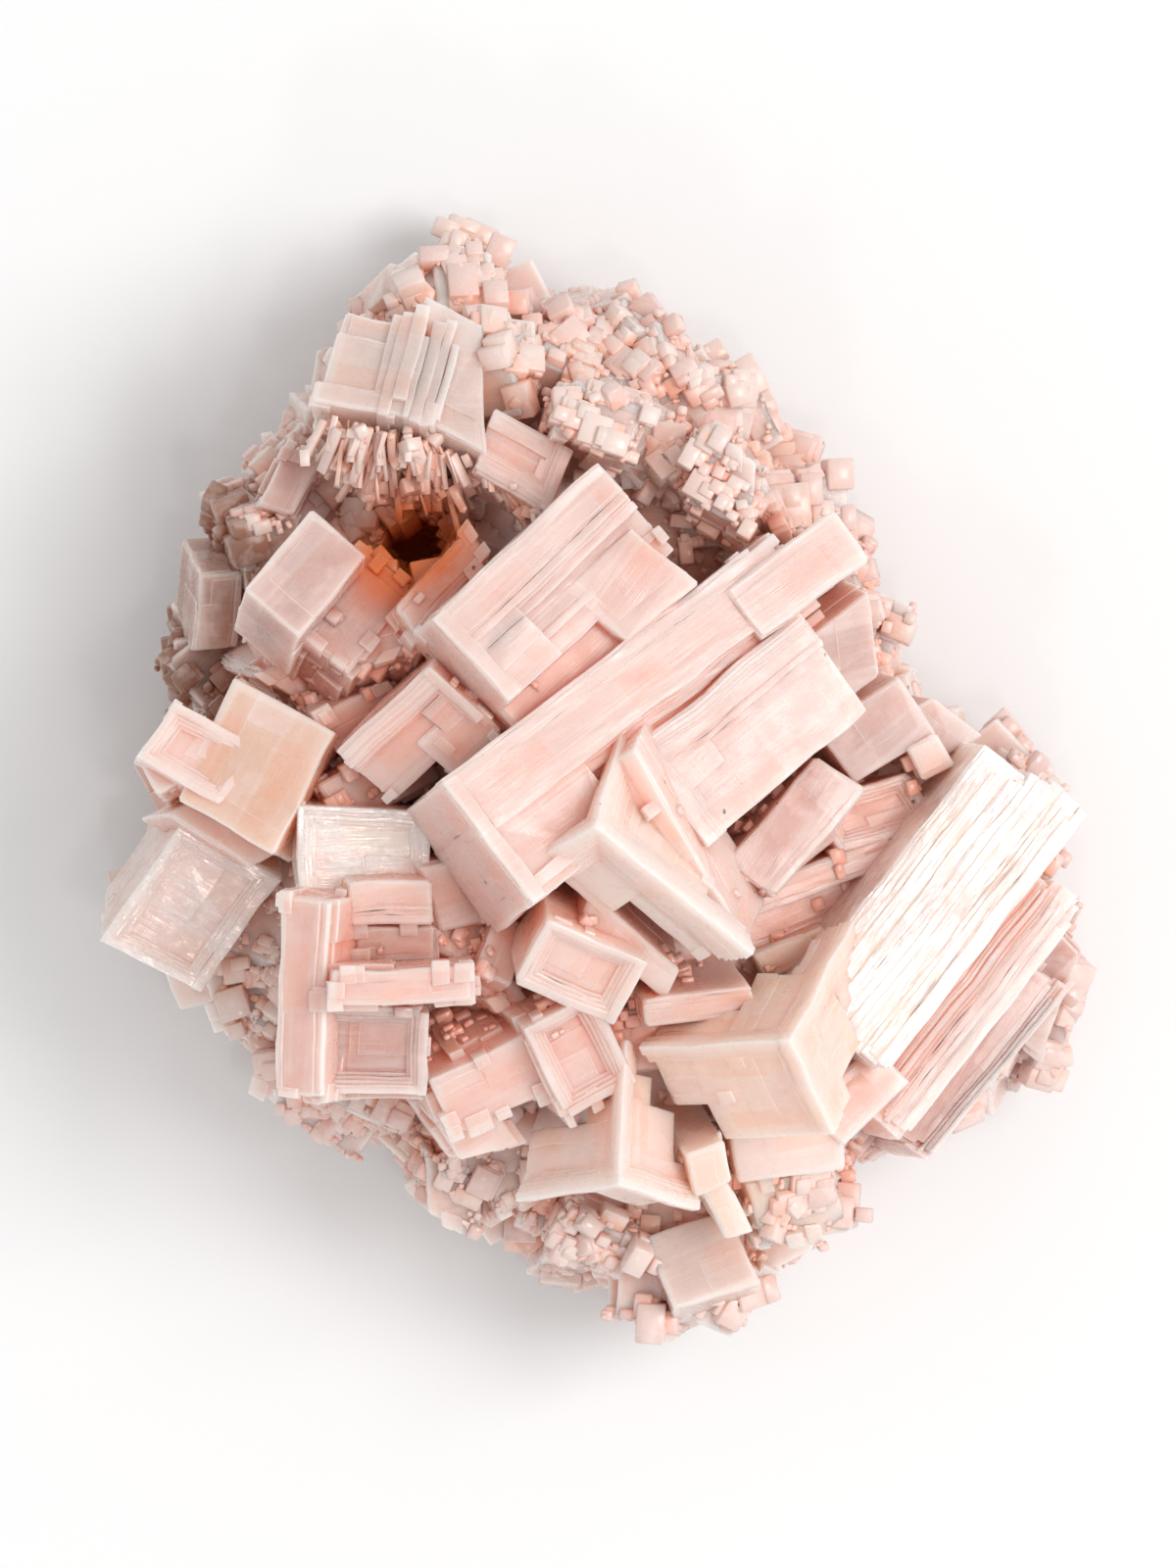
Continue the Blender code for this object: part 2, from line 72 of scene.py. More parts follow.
# Outline of the whole cluster seen from above, clockwise from the top.
OUTLINE = (
    (46.2, 24.1), (50.5, 25.4), (55.5, 30.6), (64.4, 30.2), (65.6, 33.1), (68.9, 33.6),
    (70.8, 37.4), (73.9, 38.8), (75.6, 42.4), (82.8, 45.2), (84.6, 49.5), (87.2, 54.9),
    (88.5, 58.4), (89.9, 63.1), (90.6, 67.4), (93.5, 70.6), (98.5, 77.0), (103.1, 76.9),
    (108.1, 80.8), (107.4, 85.8), (106.7, 91.1), (110.6, 95.4), (111.8, 98.3),
    (108.9, 104.4), (105.6, 106.9), (101.7, 109.4), (98.5, 113.6), (94.6, 116.9),
    (87.4, 117.6), (84.6, 123.9), (78.9, 129.7), (76.4, 133.6), (69.3, 136.2),
    (65.7, 132.1), (57.1, 128.6), (50.5, 124.5), (43.7, 124.4), (42.3, 117.9),
    (35.9, 115.6), (28.4, 111.5), (25.1, 107.2), (20.1, 101.1), (10.7, 96.3),
    (18.4, 84.7), (14.2, 77.4), (18.2, 71.8), (17.3, 64.9), (20.1, 58.2), (24.8, 55.9),
    (26.9, 48.1), (28.0, 43.4), (32.6, 38.8), (36.6, 32.7), (41.2, 27.5),
)

# The salt mass behind the crystals: how high it stands, as rounded hills on a low shelf.
SHELF_HEIGHT = 17.0
HILLS = (  # plan place, height above the shelf, spread
    ((56.0, 84.0), 24.0, 15.0),
    ((50.0, 38.0), 16.0, 9.0),
    ((72.0, 48.0), 15.0, 11.0),
    ((30.0, 66.0), 14.0, 9.0),
    ((82.0, 102.0), 10.0, 12.0),
    ((36.0, 100.0), 14.0, 11.0),
    ((64.0, 118.0), 10.0, 10.0),
)
ROUND_DIVISIONS = 3
WIDEST_LEVEL = 13.0
UNDERSIDE_DEPTH = 9.0
MASS_INSET = 3.5
FILLED_INSET = 2.0  # the crust fills in round its cubes
FILLED_LIFT = 1.0
PIT_PLACE = (42.5, 56.5, 34.0)
PIT_RADII = (4.8, 4.6, 19.0)

RIM = 2.0
RIM_STEPS = 4
RECESS = 1.6
RIB_DEPTH = 0.6  # ribs and rims go this share of the way down a crystal
LEAST_RIB = 0.2
END_WALL = 3.5
LEAST_SPREAD = -0.5
PROUD = 0.013  # so that no two blocks of a crystal share a plane
PROUD_STEPS = 40  # after so many blocks it starts again
LEAST_THICKNESS = 0.12  # a thinner block is left out
SOFT_SHARE = 0.3  # the most of a block's thickness that its edges are rounded by
FINE_EDGE = 0.12  # how far the edges of small growth are rounded
SPROUT_DEPTH = 8.0  # small cubes sit no lower on a block

SIDE_CUBES = 60
SIDE_SIZE = (5.0, 9.5)
SIDE_SLOPE = (-0.15, 0.3)
SIDE_HEART = 14.0
SIDE_LEAN = math.radians(45)
RIM_CUBES = 62
RIM_SIZE = (5.0, 8.5)
RIM_LEVELS = (7.0, 20.0)
RIM_INSET = 0.62
RIM_LEAN = math.radians(35)
SUGAR_CUBES = 46
SUGAR_SIZE = (3.5, 6.5)
SUGAR_ARC = (math.radians(-122), math.radians(-18))
SUGAR_BAND = (0.66, 0.94)
SUGAR_SINK = 2.5
SUGAR_LEAN = math.radians(40)
UNEVEN = (0.75, 1.25)
SAW_WIDTH = 300.0
SAW_DEPTH = 100.0

SHARP = math.radians(24)
SOFT_EDGE = 0.3  # how far a big crystal's edges are rounded
LONGEST_EDGE = 3.4  # longer ones are split, so that colour can change along them


def plan(x, y, z=0.0):
    """A sheet place as metres in the cluster's own frame."""
    return Vector((x - ORIGIN.x, ORIGIN.y - y, z)) * MM


def run(dx, dy, drop):
    """A sheet direction that falls by drop, in metres."""
    return Vector((dx, -dy, -drop)) * MM


def square_drops(a, b, c):
    """How far each of three plan edges must fall for the three to be square to each other."""
    ab = min(a[0] * b[0] + a[1] * b[1], LEAST_SPREAD)
    bc = min(b[0] * c[0] + b[1] * c[1], LEAST_SPREAD)
    ca = min(c[0] * a[0] + c[1] * a[1], LEAST_SPREAD)
    return math.sqrt(-ab * ca / bc), math.sqrt(-ab * bc / ca), math.sqrt(-ca * bc / ab)


CORNERS = (  # name, near corner, plan edges a, b and c, rib width, recess, fills
    (
        "middle star", (60.8, 84.2, 60), (2.9, -10.7), (16.0, 13.3), (-7.0, 4.4), 3.0, 1.8,
        ((0.78, 0.25, 0.5), (0.6, 0.5, 0.3), (0.44, 0.72, 0.4), (0.2, 0.9, 0.6),
         (0.2, 0.45, 0.95), (0.5, 0.2, 0.6)),
    ),
    (
        "right star", (80.5, 106.0, 52), (-15.3, 1.0), (6.5, -12.0), (4.5, 9.5), 3.4, 0.7,
        ((0.95, 0.22, 0.62), (0.71, 0.31, 1.0), (0.46, 0.6, 0.8), (0.25, 0.93, 0.5)),
    ),
    (
        "lower star", (63.3, 120.8, 47), (0.7, -14.8), (-10.6, 1.8), (7.9, 2.5), 2.4, 1.2,
        ((0.47, 0.95, 0.25), (0.62, 0.4, 0.3), (0.8, 0.2, 0.43), (0.6, 0.3, 0.72),
         (0.26, 0.5, 0.9)),
    ),
)

# Name, near corner, edge a and edge b with their falls, depth, habit, rim, recess. The habit
# is a plain block where none is named.
FLATS = (
    ("upper bar", (44.3, 63.3, 55), (16.8, -15.8, 7.5), (7.8, 8.2, 0), 11.5, "bar", 4.6, 1.8),
    ("star brace", (64.8, 76.4, 54), (11.4, 20.0, 8), (-2.6, 1.5, 1.5), 9),
    ("star keel", (60.6, 91.4, 50), (8.8, 7.6, 5), (-1.6, 3.2, 1.5), 13),
    ("inner ledge", (74.0, 88.0, 42), (9.5, -11.0, 4), (5.0, 3.5, 1.5), 13),
    ("upper block", (64.0, 65.6, 49.6), (7.2, -6.2, 2), (-6.8, -5.2, 0), 10),
    ("long bar", (45.5, 80.0, 58), (33.5, -25.7, 15), (9.0, 12.0, 0), 14.5, "bar", 6.7, 4.5),
    ("bar tail", (74.2, 60.0, 46), (11.0, -8.0, 4), (3.6, 5.0, 0), 12),
    ("third bar", (65.2, 76.5, 50), (16.5, -13.8, 6), (7.0, 9.8, 2), 12, "bar", 3.0, 1.0),
    ("right block", (82.6, 65.0, 42), (6.2, -4.5, 2), (1.0, 8.5, 3), 14),
    ("right slab", (83.3, 74.2, 38), (8.5, -5.0, 3), (4.0, 5.8, 3), 14),
    ("right shoulder", (90.0, 74.0, 33), (5.5, -3.0, 3), (5.0, 4.0, 3), 16),
    ("shoulder cube", (92.5, 76.5, 34), (3.2, -1.6, 0.5), (1.8, 3.3, 1), 7),
    ("ledge block", (82.9, 81.8, 35), (9.8, -2.9, 4), (3.0, 5.0, 1), 14, "hopper", 1.4, 1.0),
    ("ledge", (73.8, 89.0, 38), (9.5, -7.5, 3), (2.5, 4.0, 1), 12),
    ("upper rail", (74.3, 91.6, 37), (16.5, -6.5, 5), (0.9, 2.6, 0.5), 12),
    ("lower rail", (74.5, 94.0, 34), (17.5, -7.0, 5), (1.5, 3.5, 0.5), 12),
    ("amber block", (76.8, 97.3, 36), (7.0, -2.8, 1), (1.5, 2.8, 0.5), 10),
    ("under star", (56.0, 94.0, 52), (10.0, 4.2, 3), (-3.5, 6.2, 3), 13, "hopper", 1.8, 1.2),
    ("cross bar", (65.5, 102.0, 45), (11.0, -1.4, 2), (0.5, 2.8, 1), 13),
    ("lower left ridge", (43.7, 110.2, 46), (10.3, -4.8, 1), (2.6, 5.8, 3), 12),
    ("lower left hopper", (53.5, 105.0, 48), (6.8, -3.7, 1), (4.5, 9.0, 4), 12, "hopper", 1.6, 1.6),
    ("lower left foot", (44.0, 114.0, 40), (6.0, -1.6, 1), (3.0, 4.5, 2), 14),
    ("yellow cube", (28.2, 87.2, 46), (5.9, -12.4, 0), (-10.1, -5.6, 1.5), 13),
    ("yellow cube wing", (16.3, 81.2, 43), (-2.2, -3.9, 0.6), (6.5, -4.5, 0), 12),
    ("pale wing", (14.1, 77.3, 45.4), (4.1, -5.5, 0.5), (8.2, 4.7, 0), 12, "hopper", 1.6, 0.8),
    ("wing foot", (17.2, 83.2, 37), (8.5, 5.2, 2), (3.5, -2.2, 1), 12),
    ("bright slab", (18.5, 84.5, 33), (10.0, 5.0, 2), (-8.3, 11.5, 4), 14, "hopper", 2.0, 0.8),
    ("bright square", (30.5, 82.2, 46), (13.1, 0.8, 1.0), (0.2, 9.5, 1), 13, "hopper", 1.2, 0.8),
    ("left cube", (30.7, 64.9, 50), (6.8, -8.2, 4.4), (-5.6, -4.7, 1.2), 10.5),
    ("left cube mate", (35.6, 68.6, 45.5), (6.9, -8.4, 4.4), (-5.6, -4.6, 1), 12),
    ("left cube step", (29.0, 66.0, 43), (-2.8, -4.2, 1), (5.0, -1.5, 1), 10),
    ("wedge", (36.2, 68.3, 44), (4.8, -6.6, 2), (5.6, -1.8, 0), 12),
    ("wedge top", (42.5, 65.0, 47), (7.2, -8.0, 4), (-2.0, -3.0, 1), 12),
    ("under bar", (44.0, 68.2, 51), (-9.5, 8.8, 4), (5.4, 5.0, 0.5), 11, "bar", 2.0, 1.4),
    ("between bars", (51.2, 72.4, 51.5), (12.0, -11.2, 4.5), (5.0, 5.0, 0.5), 14),
    ("square backing", (32.5, 80.0, 43), (9.5, -5.5, 2), (3.0, 5.0, 1), 14),
    ("bar foot", (43.0, 88.5, 46), (5.5, -1.0, 2), (2.0, 6.5, 2), 14),
    ("cross foot", (60.5, 103.5, 41), (8.0, -1.0, 1), (1.0, 6.5, 1), 14),
    ("plate heel", (82.0, 113.0, 35), (7.0, -6.5, 2), (4.0, 4.0, 1), 14),
    ("wedge foot", (32.6, 72.9, 42.4), (7.2, -3.1, 1.4), (3.2, 5.1, 1.7), 14),
    ("under bar step", (47.4, 71.2, 50), (4.0, 3.4, 0.5), (-5.0, 4.8, 2), 12),
    ("step one", (26.2, 69.0, 38), (5.0, -2.5, 1), (6.0, 3.5, 2), 14),
    ("step two", (32.0, 69.5, 40), (4.0, -1.8, 1), (4.0, 3.2, 1.5), 14),
    ("frame post", (33.8, 91.8, 51), (-0.8, 20.0, 2), (-4.8, -0.4, 2), 13),
    ("frame beam", (34.0, 99.0, 52), (14.2, -0.6, 1), (0.1, 3.6, 0.3), 12),
    ("frame window", (31.0, 102.6, 49), (12.7, 0.2, 1.5), (-0.4, 8.6, 2), 13, "hopper", 1.5, 1.4),
    ("frame block", (35.5, 90.0, 48), (8.5, -0.2, 1), (0.3, 4.5, 1), 12),
    ("frame step", (36.5, 94.8, 46), (7.8, -0.3, 1), (0.0, 3.8, 1), 12),
    ("fan plate", (43.2, 95.8, 44), (4.5, -4.5, 3), (5.0, 3.0, 2), 14),
    ("fan cube", (48.5, 99.0, 46), (2.5, -6.0, 3), (3.5, 1.5, 1), 14),
    ("fan foot", (48.7, 100.5, 43), (3.5, 4.2, 2), (3.0, -1.2, 1), 14),
    ("great plate", (80.5, 102.0, 41), (20.0, -25.5, 5), (9.2, 7.2, 3.2), 10, "plate"),
    ("plate terrace", (87.0, 112.0, 33), (18.0, -23.0, 5), (5.0, 3.9, 2), 11, "plate"),
    ("plate foot", (90.0, 114.5, 28), (14.0, -17.0, 4), (5.0, 3.6, 2), 14, "plate"),
    ("outer chunk", (105.5, 92.5, 26), (5.0, 4.8, 5), (-4.0, 11.0, 4), 12),
    ("outer chunk foot", (103.0, 98.0, 20), (7.5, 2.0, 5), (-2.0, 9.5, 3), 12),
    ("peach block", (74.5, 114.5, 37), (11.0, -1.5, 2), (0.8, 6.5, 4), 16),
    ("peach foot", (76.0, 121.0, 31), (8.8, -1.5, 3), (2.0, 6.5, 5), 16),
    ("small peach", (70.0, 117.8, 41), (4.0, -1.5, 0.5), (0.8, 4.4, 2), 14),
    ("foot cube", (71.6, 121.5, 36), (2.6, -0.8, 0.3), (2.4, 5.2, 3), 14),
    ("lowest cube", (69.0, 133.8, 28), (8.5, -2.8, 1), (-3.2, -7.5, 1.2), 17),
    ("low step", (59.0, 124.0, 28), (6.5, 3.0, 2), (-2.2, 4.0, 2), 16),
    ("low corner", (43.2, 118.0, 26), (5.5, 2.5, 1), (0.5, 6.0, 1.5), 16),
    ("low shelf", (30.0, 111.0, 28), (11.0, 4.8, 3), (1.2, -3.0, 0), 16),
    ("crown", (44.2, 43.2, 43), (-12.0, -2.4, 2), (2.8, -10.0, 5.0), 8, "crown", 2.4, 0.8),
    ("crown wing", (49.7, 46.2, 42), (-5.6, -3.0, 0), (-0.5, -13.0, 6), 9),
    ("roof slab", (56.0, 52.2, 42), (-7.5, -4.5, 0), (2.4, -6.0, 1.5), 8, "bar", 2.0, 1.0),
    ("round crystal", (56.8, 44.0, 44), (7.5, 2.5, 1), (2.0, -4.8, 1), 10),
    ("crust cube", (76.3, 54.3, 41), (-5.8, -3.3, 0.5), (0.8, -7.2, 1.5), 10),
    ("edge cube", (26.2, 51.2, 31), (3.3, -5.6, 1), (3.6, 1.2, 0), 12),
    ("left post", (20.3, 58.6, 28), (4.5, -0.5, 0.5), (-0.8, 7.8, 2), 14),
    ("left foot", (17.5, 65.5, 22), (5.5, -0.8, 0), (0.2, 6.0, 1), 16),
    ("left ledge", (24.6, 53.6, 30), (5.5, -1.8, 1), (1.0, 6.0, 2), 14),
)

# Salt colours, as linear light. Crystals not named here take the common rose.
ROSE = (0.80, 0.535, 0.47)
PALE_ROSE = (0.82, 0.595, 0.54)
BLOSSOM = (0.86, 0.64, 0.58)
PETAL = (0.93, 0.745, 0.68)
VELVET = (0.76, 0.555, 0.505)
CRUST = (0.85, 0.68, 0.615)
GREY_ROSE = (0.59, 0.41, 0.375)
HONEY = (0.76, 0.51, 0.385)
PEACH = (0.95, 0.69, 0.58)
# Painted sheen: the next two near-white tints, given to the glossy plates, stand in for the glints
# of the lamps on them.
SHEEN_PEARL = (0.95, 0.83, 0.79)
GLINT_WHITE = (0.97, 0.90, 0.87)
# Painted shade: a darkened rose for crystals on the shaded left side and for low ledges among higher
# crystals.
SHADE_ROSE = (0.57, 0.325, 0.275)
ROUGE = (0.52, 0.275, 0.235)
# Painted shade: a dark brown for the crust and crystals of the shaded left side.
SHADE_BROWN = (0.38, 0.20, 0.14)
SMOKE = (0.69, 0.555, 0.505)
TINTS = {
    "yellow cube": HONEY, "amber block": HONEY, "lowest cube": SMOKE,
    "right block": GREY_ROSE, "right slab": GREY_ROSE, "right shoulder": GREY_ROSE,
    "shoulder cube": PALE_ROSE, "left cube": GREY_ROSE, "left cube mate": SHADE_ROSE,
    "crown": SMOKE, "crown wing": SMOKE, "great plate": GLINT_WHITE,
    "plate terrace": PALE_ROSE, "plate foot": ROUGE, "bright slab": SHEEN_PEARL,
    "bright square": GLINT_WHITE, "outer chunk": ROUGE, "outer chunk foot": ROUGE,
    "peach block": PETAL, "peach foot": PEACH, "small peach": PEACH, "foot cube": PEACH,
    "right star": PEACH, "lower star": PETAL, "middle star": PETAL,
    "upper bar": VELVET, "long bar": PALE_ROSE, "pale wing": BLOSSOM,
    "crust cube": PALE_ROSE, "round crystal": PALE_ROSE, "left post": SHADE_BROWN, "edge cube": SHADE_ROSE,
    "left foot": SHADE_BROWN, "left ledge": SHADE_BROWN, "ledge": SHADE_ROSE, "inner ledge": SHADE_ROSE, "third bar": VELVET,
    "under star": BLOSSOM, "star brace": BLOSSOM, "bar tail": VELVET,
    "frame window": GREY_ROSE, "frame step": GREY_ROSE, "step one": PALE_ROSE,
}
GLOSSY = {"great plate", "bright slab", "bright square"}
# Ribs across a face: how many, and how far they stand up or down from it.
RIBBED = {
    "upper bar": (5, 0.12), "long bar": (12, 0.22), "third bar": (2, 0.05),
    "great plate": (52, 0.45), "plate terrace": (20, 0.5), "plate foot": (13, 0.7),
    "under bar": (5, 0.2), "roof slab": (7, 0.4),
}


# Long low ridges on a bar's sunk face: distance from its rim, width, rise.
RIDGES = {
    "upper bar": ((0.7, 0.5, 0.5), (4.2, 0.4, 0.35)),
    "long bar": ((0.5, 0.6, 2.6), (1.6, 0.35, 1.7), (2.6, 0.5, 0.9), (4.6, 0.4, 0.5)),
    "third bar": ((0.3, 0.5, 0.55),),
}
# Crystals with long ribs on their faces. The rest are plain.
STREAKY = {
    "bar tail", "upper rail", "lower rail", "frame post", "frame beam", "frame block",
    "frame step", "cross bar", "low shelf", "left post", "lower left ridge", "wedge top",
    "fan plate", "fan foot", "crown wing", "star brace", "ledge", "inner ledge",
}
# Crystals whose edges are crowded with small cubes.
JAGGED = {
    "left cube mate", "left cube step", "under bar", "under bar step", "wedge foot",
    "lower left ridge", "lower left foot", "lower left hopper", "plate terrace",
    "plate foot", "outer chunk", "outer chunk foot", "round crystal", "crust cube",
    "crown", "low corner", "low step", "peach foot", "fan plate", "fan foot",
    "left ledge", "step one", "step two", "square backing", "edge cube",
    "frame window", "frame post", "frame beam", "frame step", "bar foot", "wedge", "wedge top",
}


class Crystal:
    """One crystal: its near corner, its three axes and lengths, and its looks."""

    def __init__(self, corner, edges, tint=ROSE, name="crust"):
        self.name = name
        self.corner = corner
        self.axes = [edge.normalized() for edge in edges]
        self.lengths = [edge.length / MM for edge in edges]
        self.tint = tint
        self.glossy = name in GLOSSY
        self.blocks = []

    def block(self, low, high, soft=SOFT_EDGE):
        """Adds a block to the crystal, from low to high along its axes."""
        proud = PROUD * (len(self.blocks) % PROUD_STEPS)
        low = [n - proud for n in low]
        high = [n + proud for n in high]
        thinnest = min(top - bottom for bottom, top in zip(low, high))
        if thinnest > LEAST_THICKNESS:
            self.blocks.append((low, high, min(soft, thinnest * SOFT_SHARE)))

    def place(self, local):
        return self.corner + sum(
            (axis * n * MM for axis, n in zip(self.axes, local)), Vector()
        )


def cut_shares(rng, count):
    """Pairs of shares that cut a length at random into so many parts."""
    cuts = sorted(rng.uniform(0, 1) for _ in range(count - 1))
    return list(zip([0.0] + cuts, cuts + [1.0]))


def layers(crystal, rng, low, high, count=2, lift=0.22, top=2, side=0):
    """Thin growth layers on a face of a block, each smaller, all starting at one corner.

    Top is the axis the face looks along and side says which end of it, 0 for the near one.
    """
    ends = {axis: rng.choice((0, 1)) for axis in range(3) if axis != top}
    share = 1.0
    for layer in range(count):
        share *= rng.uniform(0.62, 0.94)
        plate_low, plate_high = list(low), list(high)
        for axis, end in ends.items():
            gap = (high[axis] - low[axis]) * (1 - share * rng.uniform(0.8, 1.0))
            if end:
                plate_low[axis] += gap
            else:
                plate_high[axis] -= gap
        if side:
            plate_high[top] += lift * (layer + 1)
        else:
            plate_low[top] -= lift * (layer + 1)
        crystal.block(plate_low, plate_high, FINE_EDGE)


def ribs(crystal, rng, low, high, count, relief, top=2, along=0, ragged=0.12, soft=0.1):
    """Long ribs side by side over a face, each with its own height, width and ends."""
    across = 3 - top - along
    width = high[across] - low[across]
    length = high[along] - low[along]
    for start, end in cut_shares(rng, count):
        if (end - start) * width < LEAST_RIB:
            continue
        rib_low, rib_high = list(low), list(high)
        rib_low[across] = low[across] + start * width
        rib_high[across] = low[across] + end * width
        rib_low[along] = low[along] + rng.uniform(0, ragged) * length * rng.random()
        rib_high[along] = high[along] - rng.uniform(0, ragged) * length * rng.random()
        rib_low[top] = low[top] - rng.uniform(-0.3, 1.0) * relief
        crystal.block(rib_low, rib_high, soft)


def sprouts(crystal, rng, low, high, count, size=(0.5, 1.3), stick=0.3):
    """Small cubes grown parallel to a block, most of them on its edges."""
    for _ in range(count):
        edge = [rng.uniform(*size) * rng.uniform(0.6, 1.7) for _ in range(3)]
        free = rng.randrange(3)
        middle = []
        for axis, (bottom, top, n) in enumerate(zip(low, high, edge)):
            if axis == free:
                middle.append(rng.uniform(bottom, top))
            elif rng.random() < 0.5:
                middle.append(bottom + n * (0.5 - stick * rng.random()))
            else:
                middle.append(top - n * (0.5 - stick * rng.random()))
        crystal.block(
            [m - n / 2 for m, n in zip(middle, edge)],
            [m + n / 2 for m, n in zip(middle, edge)],
            0.1,
        )


def stair(crystal, rng, low, high, along, out, end, count, reach):
    """A jagged edge: a row of steps along one side of a block, each reaching out its own way."""
    length = high[along] - low[along]
    for start, stop in cut_shares(rng, count):
        step_low, step_high = list(low), list(high)
        step_low[along] = low[along] + start * length
        step_high[along] = low[along] + stop * length
        if end:
            step_high[out] = high[out] + rng.uniform(*reach)
            step_low[out] = high[out] - 1.0
        else:
            step_low[out] = low[out] - rng.uniform(*reach)
            step_high[out] = low[out] + 1.0
        step_low[2] = low[2] + rng.uniform(0.4, 0.45 * (high[2] - low[2]))
        crystal.block(step_low, step_high, FINE_EDGE)


def stepped_rim(crystal, low, high, inner, drop, widen):
    """A rim whose inner side goes down in small steps. Inner is the axis and end it faces."""
    axis, end = inner
    for step in range(RIM_STEPS):
        step_low, step_high = list(low), list(high)
        step_low[2] = low[2] + drop * step
        if end:
            step_high[axis] = high[axis] + widen * step
        else:
            step_low[axis] = low[axis] - widen * step
        crystal.block(step_low, step_high, FINE_EDGE)


def grow_block(crystal, rng, lengths, detail, jagged):
    """A block with a thin layer or two, ribs or small cubes on it, as its name asks."""
    a, b, c = lengths
    along = 0 if a > b else 1
    crystal.block((0, 0, 0), lengths, SOFT_EDGE)
    if crystal.name in STREAKY:
        ribs(crystal, rng, (0.0, 0.0, 0.0), lengths, rng.choice((3, 4)), 0.16, along=along,
             ragged=0.05, soft=SOFT_EDGE)
    layers(crystal, rng, (0.15, 0.15, 0.0), (a - 0.15, b - 0.15, c), 1, 0.07)
    for top, side in ((0, 0), (0, 1), (1, 0), (1, 1)):
        if rng.random() < 0.5:
            layers(crystal, rng, (0.0, 0.0, 0.4), (a, b, c), 1, 0.09, top, side)
    if jagged:
        for along, out, end in ((0, 1, 0), (0, 1, 1), (1, 0, 0), (1, 0, 1)):
            stair(crystal, rng, (0, 0, 0.3), lengths, along, out, end, rng.choice((3, 4, 5)),
                  (0.0, 0.9))
        sprouts(crystal, rng, (0, 0, 0), (a, b, min(c, SPROUT_DEPTH)), detail)
    else:
        sprouts(crystal, rng, (0, 0, 1.5), (a, b, min(c, SPROUT_DEPTH)), detail // 3, (0.3, 0.8))


def grow_hopper(crystal, rng, lengths, rim, recess, detail, jagged):
    """A cube with a sunk floor inside a stepped rim."""
    a, b, c = lengths
    deep = c * RIB_DEPTH
    crystal.block((0.2, 0.2, recess), (a - 0.2, b - 0.2, c))
    layers(crystal, rng, (rim, rim, recess), (a - 0.3, b - 0.3, c), 2, 0.12)
    bite = [rng.uniform(0, 0.1) for _ in range(4)]
    drop = recess / 4
    crest = rim * 0.4
    stepped_rim(crystal, (0, 0, 0), (a * (1 - bite[0]), crest, deep), (1, 1), drop, 0.4)
    stepped_rim(crystal, (0, 0, 0.04), (crest, b * (1 - bite[1]), deep), (0, 1), drop, 0.4)
    stepped_rim(crystal, (a * bite[2], b - crest, 0.2), (a, b, deep), (1, 0), drop, 0.35)
    stepped_rim(crystal, (a - crest, b * bite[3], 0.1), (a, b, deep), (0, 0), drop, 0.35)
    if jagged:
        stair(crystal, rng, (0, 0, 0.2), lengths, 0, 1, 1, 6, (0.0, 1.3))
        stair(crystal, rng, (0, 0, 0.2), lengths, 1, 0, 0, 5, (0.0, 1.0))
    sprouts(crystal, rng, (0, 0, 1), (a, b, min(c, SPROUT_DEPTH)), detail // 2 + 1, (0.4, 1.0))


def grow_bar(crystal, rng, lengths, rim, recess, detail, ribbed):
    """A bar with a wide rim along its near edge and a sunk, ridged face beside it."""
    a, b, c = lengths
    deep = c * RIB_DEPTH
    wall = min(rim, END_WALL)
    count, relief = ribbed
    crystal.block((0.3, 0.3, recess + 0.2), (a - 0.3, b - 0.2, c))
    ribs(crystal, rng, (0.0, 0.0, 0.12), (a, rim, deep), 5, 0.10,
         ragged=0.04, soft=0.14)
    drop = recess / 4.5
    stepped_rim(crystal, (0.1, rim * 0.8, 0.3), (a, rim, deep), (1, 1), drop, 0.35)
    stepped_rim(crystal, (0, 0, 0.02), (wall * 0.45, b, deep), (0, 1), drop, 0.45)
    ribs(crystal, rng, (wall, rim + 0.6, recess), (a, b, deep), count, relief, ragged=0.03,
         soft=0.14)
    for place, width, rise in RIDGES.get(crystal.name, ()):
        crystal.block((wall, rim + place, recess - rise), (a, rim + place + width, deep), FINE_EDGE)
    ribs(crystal, rng, (0.15, 0.1, 0.5), (a * 0.3, b - 0.2, c), 5, 0.08, top=0, along=2)
    ribs(crystal, rng, (0.3, 0.0, 0.6), (a, b * 0.3, c), 4, 0.08, top=1, along=0)
    sprouts(crystal, rng, (0, 0, 1.0), (a, b, min(c, 9.0)), detail // 2, (0.3, 0.9))


def grow_crown(crystal, rng, lengths, rim, recess):
    """A band along the near edge, a smooth plate above it and columns at one end."""
    a, b, c = lengths
    crystal.block((0.2, 0.2, recess + 0.3), (a - 0.3, b - 0.4, c))
    crystal.block((-0.3, 0.0, 0.0), (a + 0.5, rim, c * RIB_DEPTH), 0.3)
    crystal.block((0.6, rim * 0.6, 0.35), (a - 0.4, rim * 1.4, c * RIB_DEPTH))
    crystal.block((a * 0.45, rim, recess - 0.4), (a * 0.98, b * 0.72, c * RIB_DEPTH))
    crystal.block((a * 0.5, rim, recess - 0.1), (a * 0.9, b * 0.93, c * RIB_DEPTH))
    start = -0.6
    while start < a * 0.47:
        end = start + rng.uniform(0.5, 1.3)
        crystal.block((start, rim * rng.uniform(-0.2, 0.9), recess - rng.uniform(0.1, 1.5)),
                      (end, b * rng.uniform(0.78, 1.1), c * RIB_DEPTH), FINE_EDGE)
        start = end + rng.uniform(-0.1, 0.25)
    sprouts(crystal, rng, (0, 0, 0.5), (a, b, 6.0), 9, (0.4, 1.2))


